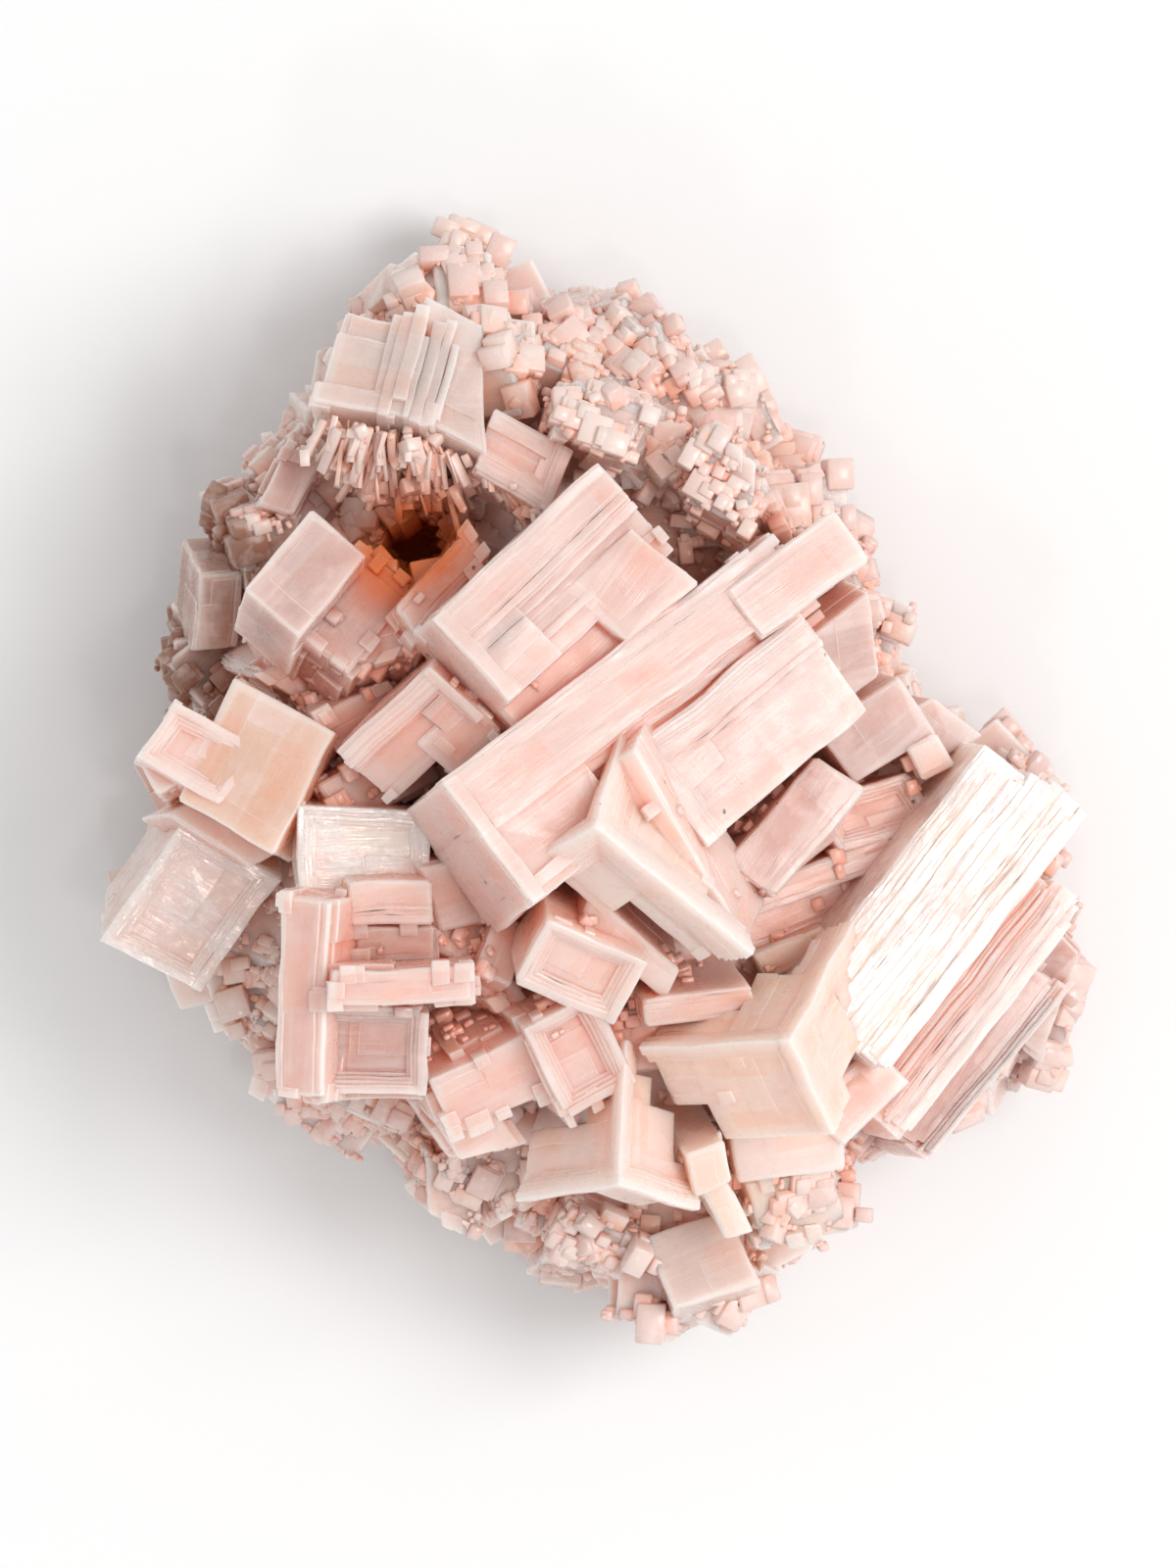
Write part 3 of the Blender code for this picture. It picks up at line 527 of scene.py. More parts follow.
def grow_plate(crystal, rng, lengths, count, relief):
    """A plate of long thin blades side by side, ragged at both ends."""
    a, b, c = lengths
    crystal.block((0.8, 0.3, relief + 0.3), (a - 1.2, b - 0.4, c))
    ribs(crystal, rng, (0.0, 0.0, 0.3), (a, b, c * RIB_DEPTH), count, relief, ragged=0.09,
         soft=0.08)
    ribs(crystal, rng, (0.5, b * 0.4, 0.5), (a + 1.2, b + 0.4, c * 0.8), count // 2, relief,
         ragged=0.14, soft=0.08)
    for top, along, deep_low in ((0, 2, 0.6), (1, 0, 0.8)):
        ribs(crystal, rng, (0.1, 0.1, deep_low), (a, b, c), 8, 0.3, top=top, along=along)


# The steps down a corner's arm: how far below its crest, and share of the rib width.
ARM_STEPS = ((0.0, 0.34), (0.16, 0.5), (0.34, 0.7), (0.6, 0.9), (0.95, 1.1), (1.3, 1.35))
STAR_SPROUTS = 16


def grow_star(crystal, rng, lengths, rim, recess, fills, detail):
    """Three arms stepped down on both sides, and between them the sunk, stepped fills."""
    for along in range(3):
        for step, (sink, width) in enumerate(ARM_STEPS):
            low = [sink] * 3
            high = [rim * width] * 3
            low[along] = 0.0 if step == 0 else sink
            high[along] = lengths[along] * (1.0 - 0.015 * step * rng.random())
            crystal.block(low, high, 0.14)
    for fill in fills:
        high = [n * share for n, share in zip(lengths, fill)]
        low = [recess + 0.3] * 3
        crystal.block(low, high)
        for top in range(3):
            along = max((axis for axis in range(3) if axis != top), key=lambda n: high[n])
            face_low = [recess + 0.3] * 3
            face_low[top] = recess + 0.25
            ribs(crystal, rng, face_low, high, 6, 0.16, top=top, along=along, ragged=0.06)
        sprouts(crystal, rng, low, high, detail // len(fills), (0.4, 1.0))


def corner_crystals(rng):
    made = []
    for name, corner, a, b, c, rim, recess, fills in CORNERS:
        edges = [run(*edge, drop) for edge, drop in zip((a, b, c), square_drops(a, b, c))]
        crystal = Crystal(plan(*corner), edges, TINTS.get(name, ROSE), name)
        grow_star(crystal, rng, crystal.lengths, rim, recess, fills, STAR_SPROUTS)
        made.append(crystal)
    return made


def flat_crystals(rng):
    made = []
    for name, corner, a, b, depth, *rest in FLATS:
        habit, *sizes = rest or ("block",)
        edge_a, edge_b = run(*a), run(*b)
        down = edge_a.cross(edge_b).normalized()
        if down.z > 0:
            down = -down
        edges = [edge_a, edge_b, down * depth * MM]
        crystal = Crystal(plan(*corner), edges, TINTS.get(name, ROSE), name)
        lengths = crystal.lengths
        rim, recess = sizes or (RIM, RECESS)
        detail = 2 + int((lengths[0] + lengths[1]) / 8)
        jagged = name in JAGGED
        if jagged:
            detail *= 3
        if habit == "plate":
            grow_plate(crystal, rng, lengths, *RIBBED[name])
        elif habit == "crown":
            grow_crown(crystal, rng, lengths, rim, recess)
        elif habit == "bar":
            grow_bar(crystal, rng, lengths, rim, recess, detail, RIBBED[name])
        elif habit == "hopper":
            grow_hopper(crystal, rng, lengths, rim, recess, detail, jagged)
        else:
            grow_block(crystal, rng, lengths, detail, jagged)
        made.append(crystal)
    return made


def height_of_mass(x, y):
    """Height of the salt mass over a sheet place."""
    high = SHELF_HEIGHT
    for (hill_x, hill_y), rise, spread in HILLS:
        apart = ((x - hill_x) ** 2 + (y - hill_y) ** 2) / (2 * spread**2)
        high += rise * math.exp(-apart)
    return high


def outline_reach(angle):
    """Distance from the outline's heart to the outline, in millimetres, at an angle."""
    ray = Vector((math.cos(angle), math.sin(angle)))
    points = [Vector(point) - OUTLINE_HEART for point in OUTLINE]
    for start, end in zip(points, points[1:] + points[:1]):
        side = end - start
        turn = ray.x * side.y - ray.y * side.x
        if abs(turn) < 1e-9:
            continue
        reach = (start.x * side.y - start.y * side.x) / turn
        share = (start.x * ray.y - start.y * ray.x) / turn
        if reach > 0 and -1e-9 <= share <= 1 + 1e-9:
            return reach
    raise ValueError("the outline has a gap")


def salt_mass(inset=MASS_INSET, lift=0.0):
    """The lumpy mass that the crystals stand on, widest a little above its foot."""
    bm = bmesh.new()
    crystal_mark = bm.faces.layers.int.new("crystal")
    bm.faces.layers.int.new("edge")
    made = bmesh.ops.create_icosphere(bm, subdivisions=ROUND_DIVISIONS, radius=1.0)
    for vert in made["verts"]:
        p = vert.co.copy()
        level = max(min(p.z, 1.0), -1.0)
        across = math.sqrt(max(1 - level**2, 0.0)) ** 0.75
        angle = math.atan2(p.y, p.x)
        reach = (outline_reach(angle) - inset) * across
        x = OUTLINE_HEART.x + reach * math.cos(angle)
        y = OUTLINE_HEART.y + reach * math.sin(angle)
        if level > 0:
            z = WIDEST_LEVEL + (height_of_mass(x, y) + lift - WIDEST_LEVEL) * level**0.7
        else:
            z = WIDEST_LEVEL + (WIDEST_LEVEL + UNDERSIDE_DEPTH) * level
        vert.co = plan(x, y, z)
    bmesh.ops.recalc_face_normals(bm, faces=bm.faces)
    for face in bm.faces:
        face[crystal_mark] = -1
    return bm


def leaning(rng, lean):
    """A turn at random that leans from upright by no more than the given angle."""
    turn = Matrix.Rotation(rng.uniform(0, math.pi / 2), 3, "Z")
    axis = Vector((rng.uniform(-1, 1), rng.uniform(-1, 1), 0)).normalized()
    return Matrix.Rotation(rng.uniform(0, lean), 3, axis) @ turn


def turned_crystal(rng, centre, size, lean, tint):
    """A cube with each side a little different, turned at random."""
    turn = leaning(rng, lean)
    edges = [turn.col[n] * size * MM * rng.uniform(*UNEVEN) for n in range(3)]
    corner = centre - (edges[0] + edges[1] + edges[2]) * 0.5
    return Crystal(corner, edges, tint)


def grow_cube(crystal, rng):
    """A cube with a layer or two on some faces and a smaller cube grown on it."""
    lengths = crystal.lengths
    crystal.block((0, 0, 0), lengths)
    for _ in range(2):
        top, side = rng.randrange(3), rng.choice((0, 1))
        layers(crystal, rng, (0.1, 0.1, 0.1), [n - 0.1 for n in lengths], 1, 0.3, top, side)
    sprouts(crystal, rng, (0, 0, 0), lengths, 2, (0.16 * lengths[0], 0.36 * lengths[0]))


def outward(angle, rise):
    """A direction at an angle on the sheet that rises by the given slope."""
    return Vector((math.cos(angle), math.sin(angle), rise)).normalized()


def outline_place(angle, inset, share=1.0):
    """A sheet place on the outline at an angle, drawn in by inset or to a share of the way."""
    reach = outline_reach(angle) * share - inset
    return (
        OUTLINE_HEART.x + reach * math.cos(angle),
        OUTLINE_HEART.y + reach * math.sin(angle),
    )


# Painted shade: the crust on the shaded left side, round this place, is painted darker.
SHADED_SIDE = (19.0, 65.0, 20.0)  # the crust is darker round here
SHADED_REACH = 15.0


def in_painted_shade(place):
    # Whether a place lies in the painted shade of the left side.
    return (place - plan(*SHADED_SIDE)).length < SHADED_REACH * MM


def crust_cubes(rng, detail_rng, mass):
    """The larger cubes of the sides, the outline and the far shoulder."""
    made = []
    tree = BVHTree.FromBMesh(mass)
    heart = plan(*OUTLINE_HEART, SIDE_HEART)
    for _ in range(SIDE_CUBES):
        angle = rng.uniform(0, 2 * math.pi)
        out = outward(angle, rng.uniform(*SIDE_SLOPE))
        place, _, _, _ = tree.ray_cast(heart + out * SAW_WIDTH * MM, -out)
        if place:
            size = rng.uniform(*SIDE_SIZE)
            made.append(turned_crystal(rng, place, size, SIDE_LEAN, PALE_ROSE))
    for index in range(RIM_CUBES):
        angle = 2 * math.pi * (index + rng.uniform(-0.3, 0.3)) / RIM_CUBES
        size = rng.uniform(*RIM_SIZE)
        place = plan(*outline_place(angle, size * RIM_INSET), rng.uniform(*RIM_LEVELS))
        made.append(turned_crystal(rng, place, size, RIM_LEAN, CRUST))
    for _ in range(SUGAR_CUBES):
        x, y = outline_place(rng.uniform(*SUGAR_ARC), 0.0, rng.uniform(*SUGAR_BAND))
        place = plan(x, y, height_of_mass(x, y) - SUGAR_SINK)
        size = rng.uniform(*SUGAR_SIZE)
        made.append(turned_crystal(rng, place, size, SUGAR_LEAN, CRUST))
    for crystal in made:
        # Painted shade: cubes on the shaded left side take the dark brown.
        if in_painted_shade(crystal.corner):
            crystal.tint = SHADE_BROWN
        grow_cube(crystal, detail_rng)
    return made


def soften(bm, soft, clamp=False):
    """Rounds every edge by a narrow bevel."""
    return bmesh.ops.bevel(
        bm, geom=bm.edges[:], offset=soft * MM, offset_type="OFFSET", segments=1,
        profile=0.5, material=-1, affect="EDGES", clamp_overlap=clamp,
    )


def block_object(crystal, block, index, collection):
    """One block with softened edges, marked with the number of its crystal."""
    low, high, soft = block
    bm = bmesh.new()
    crystal_mark = bm.faces.layers.int.new("crystal")
    edge_mark = bm.faces.layers.int.new("edge")
    size = [(top - bottom) * MM for bottom, top in zip(low, high)]
    middle = crystal.place([(bottom + top) * 0.5 for bottom, top in zip(low, high)])
    turn = Matrix([axis * n for axis, n in zip(crystal.axes, size)]).transposed()
    bmesh.ops.create_cube(bm, size=1.0, matrix=Matrix.Translation(middle) @ turn.to_4x4())
    if turn.determinant() < 0:
        bmesh.ops.reverse_faces(bm, faces=bm.faces)
    bevelled = soften(bm, soft)
    for face in bm.faces:
        face[crystal_mark] = index
        face[edge_mark] = 0
    for face in bevelled["faces"]:
        face[edge_mark] = 1
    return new_object("block", bm, collection)


def new_object(name, bm, collection):
    mesh = bpy.data.meshes.new(name)
    bm.to_mesh(mesh)
    bm.free()
    made = bpy.data.objects.new(name, mesh)
    collection.objects.link(made)
    return made


def boolean(target, operation, other=None, collection=None):
    step = target.modifiers.new(operation, "BOOLEAN")
    step.operation = operation
    step.solver = "MANIFOLD"
    if collection:
        step.operand_type = "COLLECTION"
        step.collection = collection
    else:
        step.object = other


def grown_together(crystals):
    """The mass joined with every block of the crystals, pitted and sawn, as a bmesh."""
    stock = bpy.data.collections.new("stock")
    bpy.context.scene.collection.children.link(stock)
    for index, crystal in enumerate(crystals):
        for block in crystal.blocks:
            block_object(crystal, block, index, stock)
    whole = new_object("mass", salt_mass(FILLED_INSET, FILLED_LIFT), bpy.context.scene.collection)
    cutters = (pit_cutter(), saw_cutter())
    boolean(whole, "DIFFERENCE", other=cutters[0])
    boolean(whole, "UNION", collection=stock)
    boolean(whole, "DIFFERENCE", other=cutters[1])
    graph = bpy.context.evaluated_depsgraph_get()
    joined = bmesh.new()
    joined.from_mesh(whole.evaluated_get(graph).to_mesh())
    for helper in (whole, *cutters):
        bpy.data.objects.remove(helper)
    for block in list(stock.objects):
        bpy.data.meshes.remove(block.data)
    bpy.data.collections.remove(stock)
    drop_pockets(joined)
    return joined


LEAST_GRAIN = 3e-9  # in cubic metres: a smaller body is dropped


def drop_pockets(bm):
    """Deletes closed pockets, whose volume is negative, and loose grains."""
    seen = set()
    loose = set()
    for first in list(bm.faces):
        if first in seen:
            continue
        seen.add(first)
        shell = [first]
        volume = 0.0
        for face in shell:
            corners = [vert.co for vert in face.verts]
            for second, third in zip(corners[1:], corners[2:]):
                volume += corners[0].dot(second.cross(third)) / 6
            for edge in face.edges:
                for other in edge.link_faces:
                    if other not in seen:
                        seen.add(other)
                        shell.append(other)
        if volume < LEAST_GRAIN:
            loose.update(vert for face in shell for vert in face.verts)
    bmesh.ops.delete(bm, geom=list(loose), context="VERTS")


def split_long_edges(bm, longest):
    """Triangles with no edge longer than the given length."""
    bmesh.ops.triangulate(bm, faces=bm.faces)
    for _ in range(5):
        long_edges = [edge for edge in bm.edges if edge.calc_length() > longest * MM]
        if not long_edges:
            break
        bmesh.ops.subdivide_edges(bm, edges=long_edges, cuts=1)
        bmesh.ops.triangulate(bm, faces=[face for face in bm.faces if len(face.verts) > 3])


def drop_flaps(bm):
    """Deletes faces that lie back to back on the same corners, and so enclose nothing."""
    groups = {}
    for face in bm.faces:
        groups.setdefault(frozenset(face.verts), []).append(face)
    flaps = [face for group in groups.values() if len(group) % 2 == 0 for face in group]
    bmesh.ops.delete(bm, geom=flaps, context="FACES_ONLY")
    bmesh.ops.delete(bm, geom=[edge for edge in bm.edges if edge.is_wire], context="EDGES")
    loose = [vert for vert in bm.verts if not vert.link_faces]
    bmesh.ops.delete(bm, geom=loose, context="VERTS")


PIT_REACH = 9.0  # how far from the pit's middle its wine colour spreads
SKY_RAYS = 14
SKY_START = 0.5  # rays start this far off the face, so that small grooves count as open
SKY_REACH = 11.0  # a wall further off than this leaves a place open


def any_direction(rng):
    return Vector((rng.gauss(0, 1), rng.gauss(0, 1), rng.gauss(0, 1)))


def sky_directions(rng):
    found = []
    while len(found) < SKY_RAYS:
        out = any_direction(rng)
        if out.length > 0.1:
            found.append(out.normalized())
    return found


def hollowness(bm, rng, others=()):
    """For each point of the mesh, how shut in it is: 0 on an open crest, 1 deep in a pit. The
    materials paint shade from it.

    Others are trees of further meshes that shut it in.
    """
    trees = [BVHTree.FromBMesh(bm), *others]
    directions = sky_directions(rng)
    shut = []
    for vert in bm.verts:
        normal = vert.normal
        start = vert.co + normal * SKY_START * MM
        total = 0.0
        weight = 0.0
        for out in directions:
            facing = out.dot(normal)
            if facing < 0:
                out, facing = -out, -facing
            met = [tree.ray_cast(start, out, SKY_REACH * MM)[3] for tree in trees]
            near = min((distance for distance in met if distance is not None), default=None)
            if near is not None:
                total += facing * (1 - near / (SKY_REACH * MM)) ** 0.5
            weight += facing
        shut.append(total / weight)
    bm.verts.index_update()
    for _ in range(2):
        around = [[edge.other_vert(vert).index for edge in vert.link_edges] for vert in bm.verts]
        shut = [
            0.5 * own + 0.5 * sum(shut[n] for n in near) / len(near) if near else own
            for own, near in zip(shut, around)
        ]
    return shut


def pit_share(spot):
    """How much of the pit's wine colour a place takes."""
    away = (spot - plan(*PIT_PLACE)) / MM
    away.z = max(away.z - 4.0, 0.0) * 0.8
    return max(0.0, 1.4 - away.length / PIT_REACH)


WAVE = 0.32  # how far the growth wavers, in millimetres
WAVE_LENGTH = 6.0
CHIP = 0.13
CHIP_LENGTH = 0.9


def waver(bm):
    """Bends the mesh a little at random, so that no edge is ruled and no face quite flat."""
    for vert in bm.verts:
        spot = vert.co / MM
        shift = WAVE * noise.noise_vector(spot / WAVE_LENGTH)
        shift += CHIP * noise.noise_vector(spot / CHIP_LENGTH)
        if spot.z < 1.0:
            shift.z = 0.0
        vert.co += shift * MM


def write_looks(bm, crystals, rng):
    """Writes what the material reads: tint, how shut in each place is for the painted shade, pit,
    gloss, soft for the painted rim highlights, and place in the crystal.
    """
    tint = bm.loops.layers.float_color.new("tint")
    hollow = bm.verts.layers.float.new("hollow")
    local = bm.loops.layers.float_vector.new("local")
    reach = bm.loops.layers.float_vector.new("reach")
    gloss = bm.faces.layers.float.new("gloss")
    soft = bm.faces.layers.float.new("soft")
    crystal_mark = bm.faces.layers.int["crystal"]
    edge_mark = bm.faces.layers.int["edge"]
    pit = bm.verts.layers.float.new("pit")
    for vert, shut in zip(bm.verts, hollowness(bm, rng)):
        vert[hollow] = shut
        vert[pit] = pit_share(vert.co)
    shades = [rng.uniform(-1, 1) for _ in crystals]
    for face in bm.faces:
        index = face[crystal_mark]
        crystal = crystals[index] if index >= 0 else None
        colour = Vector(crystal.tint if crystal else PALE_ROSE)
        colour *= 1 + 0.03 * (shades[index] if crystal else 0)
        face[gloss] = 1.0 if crystal and crystal.glossy else 0.0
        # The bevel faces, which the material paints paler as a highlight on the rims.
        face[soft] = float(face[edge_mark])
        for loop in face.loops:
            spot = loop.vert.co
            loop[tint] = (*colour, 1.0)
            if crystal:
                away = (spot - crystal.corner) / MM
                loop[local] = Vector([away.dot(axis) for axis in crystal.axes])
                loop[reach] = Vector(crystal.lengths)
            else:
                loop[local] = spot / MM
                loop[reach] = Vector((100.0, 100.0, 100.0))


def finished(name, bm, material, sharp):
    """The object of a finished mesh, smooth except where it turns by more than sharp."""
    made = new_object(name, bm, bpy.context.scene.collection)
    made.data.shade_smooth()
    made.data.set_sharp_from_angle(angle=sharp)
    made.data.materials.append(material)
    return made


MIX_ONE, MIX_TWO, MIX_RESULT = 6, 7, 2  # a Mix node's sockets for colours
COLOUR, VECTOR, NUMBER = 0, 1, 2  # outputs of an attribute
OBJECT_PLACE = 3  # the output of Texture Coordinate


class Wire:
    """A socket of a material, with sums and products that add the nodes they need."""

    def __init__(self, craft, socket):
        self.craft = craft
        self.socket = socket

    def maths(self, operation, other):
        return self.craft.node("ShaderNodeMath", {"operation": operation}, (self, other))

    def __add__(self, other):
        return self.maths("ADD", other)

    __radd__ = __add__

    def __mul__(self, other):
        return self.maths("MULTIPLY", other)

    __rmul__ = __mul__

    def __sub__(self, other):
        return self.maths("SUBTRACT", other)

    def __rsub__(self, other):
        return self.craft.node("ShaderNodeMath", {"operation": "SUBTRACT"}, (other, self))

    def __truediv__(self, other):
        return self.maths("DIVIDE", other)

    def __lt__(self, other):
        return self.maths("LESS_THAN", other)

    def low(self, other):
        return self.maths("MINIMUM", other)

    def high(self, other):
        return self.maths("MAXIMUM", other)


# Salt's own colours, over the tints of its crystals.
MUD = (0.10, 0.045, 0.03, 1.0)
MUD_SCALE = (240.0, 150.0, 240.0)
MUD_SIZE = 0.045
MUD_SHARE = 0.85
WINE = (0.70, 0.17, 0.045, 1.0)
FROST = (0.95, 0.85, 0.81, 1.0)
MILK = (0.83, 0.65, 0.595, 1.0)
BLUSH = (0.93, 0.68, 0.62, 1.0)
SUGAR = (0.97, 0.86, 0.815, 1.0)
# Painted shade: shut-in places are multiplied by this tint, deeper and warmer, to stand in for shade
# and for light carried through the salt.
PAINTED_SHADE_TINT = (1.12, 0.74, 0.58, 1.0)  # what a shut-in place multiplies the tint by
SALT_IOR = 1.544
SCATTER_RADIUS = (1.0, 0.92, 0.86)
SCATTER_DEPTH = 3.5
ZONE_WIDTHS = (5.5, 2.4, 2.4)


class Craft:
    """Builds one material."""

    def __init__(self, name):
        self.material = bpy.data.materials.new(name)
        self.material.use_nodes = True
        self.tree = self.material.node_tree
        self.surface = self.tree.nodes["Principled BSDF"]

    def put(self, socket, value):
        if isinstance(value, Wire):
            self.tree.links.new(value.socket, socket)
        else:
            socket.default_value = value

    def node(self, kind, settings=None, values=(), out=0):
        """Adds a node. Values are the sockets' values or wires, in order or by name."""
        made = self.tree.nodes.new(kind)
        for key, value in (settings or {}).items():
            setattr(made, key, value)
        pairs = values.items() if isinstance(values, dict) else enumerate(values)
        for key, value in pairs:
            if value is not None:
                self.put(made.inputs[key], value)
        return Wire(self, made.outputs[out])

    def noise(self, where, scale, detail=2.0, rough=0.5):
        values = {"Vector": where, "Scale": scale, "Detail": detail, "Roughness": rough}
        return self.node("ShaderNodeTexNoise", values=values)

    def stretch(self, where, scale):
        return self.node("ShaderNodeVectorMath", {"operation": "MULTIPLY"}, (where, scale))

    def blend(self, share, one, two, mode="MIX"):
        """Between two colours."""
        made = self.tree.nodes.new("ShaderNodeMix")
        made.data_type = "RGBA"
        made.blend_type = mode
        made.clamp_result = True
        self.put(made.inputs["Factor"], share)
        self.put(made.inputs[MIX_ONE], one)
        self.put(made.inputs[MIX_TWO], two)
        return Wire(self, made.outputs[MIX_RESULT])

    def ramp(self, value, start, end):
        """0 below start, 1 above end and smooth between."""
        settings = {"interpolation_type": "SMOOTHSTEP"}
        values = {"Value": value, "From Min": start, "From Max": end}
        return self.node("ShaderNodeMapRange", settings, values)

    def read(self, name, out=0):
        return self.node("ShaderNodeAttribute", {"attribute_name": name}, out=out)

    def part(self, vector):
        split = self.tree.nodes.new("ShaderNodeSeparateXYZ")
        self.put(split.inputs[0], vector)
        return [Wire(self, out) for out in split.outputs]


def edge_nearness(craft):
    """How far from the nearest edge of the crystal, and how deep inside it, in millimetres."""
    near = []
    places = craft.part(craft.read("local", VECTOR))
    lengths = craft.part(craft.read("reach", VECTOR))
    for place, length in zip(places, lengths):
        near.append(place.low(length - place).high(0.0))
    first, second, third = near
    edge_gap = first.low(second).high(first.high(second).low(third))
    return edge_gap, first.low(second).low(third)


def zones(craft):
    """Square-cornered zones of the growth, clearer or milkier: about 0 to 1."""
    places = craft.part(craft.read("local", VECTOR))
    total = 0.0
    for place, width in zip(places, ZONE_WIDTHS):
        band = craft.node(
            "ShaderNodeTexVoronoi", {"voronoi_dimensions": "1D"},
            {"W": place, "Scale": 1.0 / width}, out=1,
        )
        total = total + craft.part(band)[0] / len(ZONE_WIDTHS)
    return total


def shared_looks(craft):
    """What both salts read: the place, the tint, how shut in it is for the painted shade, and how
    near the pit.
    """
    where = craft.node("ShaderNodeTexCoord", out=OBJECT_PLACE)
    return where, craft.read("tint", COLOUR), craft.read("hollow", NUMBER), craft.read("pit", NUMBER)


def stained(craft, where, colour, wine, veil):
    """A colour with the pit's wine over it and a few tiny dark grains of mud."""
    grains = craft.node(
        "ShaderNodeTexVoronoi", {"feature": "F1"},
        {"Vector": craft.stretch(where, MUD_SCALE), "Scale": 1.0},
    )
    mud = (grains < MUD_SIZE) * craft.ramp(veil, 0.42, 0.5) * MUD_SHARE
    return craft.blend(mud, craft.blend(wine, colour, WINE), MUD)


def milky_salt(name):
    """Cloudy rose salt: veiled on faces, pale on edges partly as a painted highlight, and deeper and
    warmer in colour where shut in or sunk, as painted shade.
    """
    craft = Craft(name)
    where, tint, hollow, pit = shared_looks(craft)
    soft = craft.read("soft", NUMBER)
    gloss = craft.read("gloss", NUMBER)
    local = craft.read("local", VECTOR)
    edge_gap, inside = edge_nearness(craft)

    cloud = craft.noise(where, 90.0, 3.0, 0.6)
    veil = craft.noise(where, 340.0, 4.0, 0.62)
    streak = craft.noise(craft.stretch(local, (0.05, 1.5, 1.5)), 1.0, 3.0, 0.62)
    growth = craft.node(
        "ShaderNodeTexNoise", {"noise_dimensions": "1D"},
        {"W": edge_gap, "Scale": 1.9, "Detail": 3.0, "Roughness": 0.65},
    )
    grain = craft.noise(where, 2600.0, 2.0, 0.6)

    # Painted shade: shut-in places and sunk floors take a deeper, warmer rose and lose some of their
    # milky veils and pale edges.
    shut = craft.ramp(hollow + 0.2 * (cloud - 0.5), 0.12, 0.95)
    sunk = craft.ramp(inside, 0.5, 4.0) * 0.55
    depth = (shut + sunk).low(1.0)
    zone = zones(craft)
    shade_and_zone_rose = craft.blend(1.0, tint, PAINTED_SHADE_TINT, "MULTIPLY")
    colour = craft.blend(depth, tint, shade_and_zone_rose)
    colour = craft.blend(craft.ramp(zone, 0.55, 0.2) * 0.35, colour, shade_and_zone_rose)
    clouded = craft.ramp(cloud, 0.35, 0.7) * 0.3 + craft.ramp(veil, 0.5, 0.72) * 0.35
    clouded = (clouded + craft.ramp(zone, 0.5, 0.8) * 0.35).low(1.0)
    colour = craft.blend(clouded * (1.0 - depth * 0.7), colour, MILK)
    lines = craft.ramp(streak, 0.5, 0.75) * 0.16 + craft.ramp(growth, 0.54, 0.75) * 0.14
    colour = craft.blend(lines * (1.0 - depth * 0.4), colour, FROST)
    wide = 1.0 - craft.ramp(edge_gap + 2.5 * (veil - 0.5), 0.3, 3.2)
    colour = craft.blend(wide * 0.22 * (1.0 - depth * 0.6), colour, MILK)
    needle_line = craft.noise(craft.stretch(local, (0.04, 4.5, 4.5)), 1.0, 2.0, 0.7)
    colour = craft.blend(craft.ramp(needle_line, 0.48, 0.60) * gloss * 0.6, colour, BLUSH)
    # Partly frosted salt, partly a painted highlight: the bevels and a thin strip along every edge
    # are paler, as rims catching the light.
    thin = 1.0 - craft.ramp(edge_gap, 0.0, 0.6)
    frost_and_edge_highlight = (soft * 0.42).high(thin * 0.28)
    colour = craft.blend(frost_and_edge_highlight * (1.0 - shut * 0.6), colour, FROST)
    wine = craft.ramp(pit + 0.3 * (veil - 0.5), 0.25, 0.85)
    colour = stained(craft, where, colour, wine, veil)

    rough = 0.22 + 0.24 * craft.ramp(veil, 0.35, 0.7) + 0.1 * (grain - 0.5)
    rough = rough * (1.0 - gloss * 0.65)
    height = 0.32 * streak + 0.3 * growth + 0.10 * grain + 0.3 * veil
    height = height + 0.7 * gloss * needle_line
    bump = craft.node(
        "ShaderNodeBump", values={"Strength": 0.24, "Distance": 0.0006, "Height": height}
    )
    inner_mirror = gloss * (0.03 + 0.27 * craft.ramp(veil, 0.44, 0.62))
    craft.put(craft.surface.inputs["Base Color"], colour)
    craft.put(craft.surface.inputs["Metallic"], inner_mirror)
    craft.put(craft.surface.inputs["Roughness"], rough)
    craft.put(craft.surface.inputs["Normal"], bump)
    fixed = {
        "IOR": SALT_IOR,
        "Subsurface Weight": 1.0,
        "Subsurface Radius": SCATTER_RADIUS,
        "Subsurface Scale": SCATTER_DEPTH * MM,
    }
    for key, value in fixed.items():
        craft.surface.inputs[key].default_value = value
    return craft.material


def sugar_salt(name):
    """The crust's small crystals: pale and cloudy, with sharp little glints, and a painted shade
    that deepens and warms them where shut in.
    """
    craft = Craft(name)
    where, tint, hollow, pit = shared_looks(craft)
    cloud = craft.noise(where, 110.0, 3.0, 0.6)
    veil = craft.noise(where, 500.0, 2.0, 0.6)
    # Painted shade: shut-in places take a deeper, warmer rose.
    shut = craft.ramp(hollow + 0.2 * (cloud - 0.5), 0.2, 0.95)
    shade_and_zone_rose = craft.blend(1.0, tint, PAINTED_SHADE_TINT, "MULTIPLY")
    colour = craft.blend(shut, tint, shade_and_zone_rose)
    pale = craft.ramp(veil, 0.45, 0.75) * 0.7 * (1.0 - shut * 0.6)
    colour = craft.blend(pale, colour, craft.blend(0.55, tint, SUGAR))
    wine = craft.ramp(pit + 0.3 * (veil - 0.5), 0.35, 1.0)
    colour = stained(craft, where, colour, wine, veil)
    rough = 0.16 + 0.25 * craft.ramp(veil, 0.3, 0.7)
    craft.put(craft.surface.inputs["Base Color"], colour)
    craft.put(craft.surface.inputs["Roughness"], rough)
    craft.surface.inputs["IOR"].default_value = SALT_IOR
    return craft.material


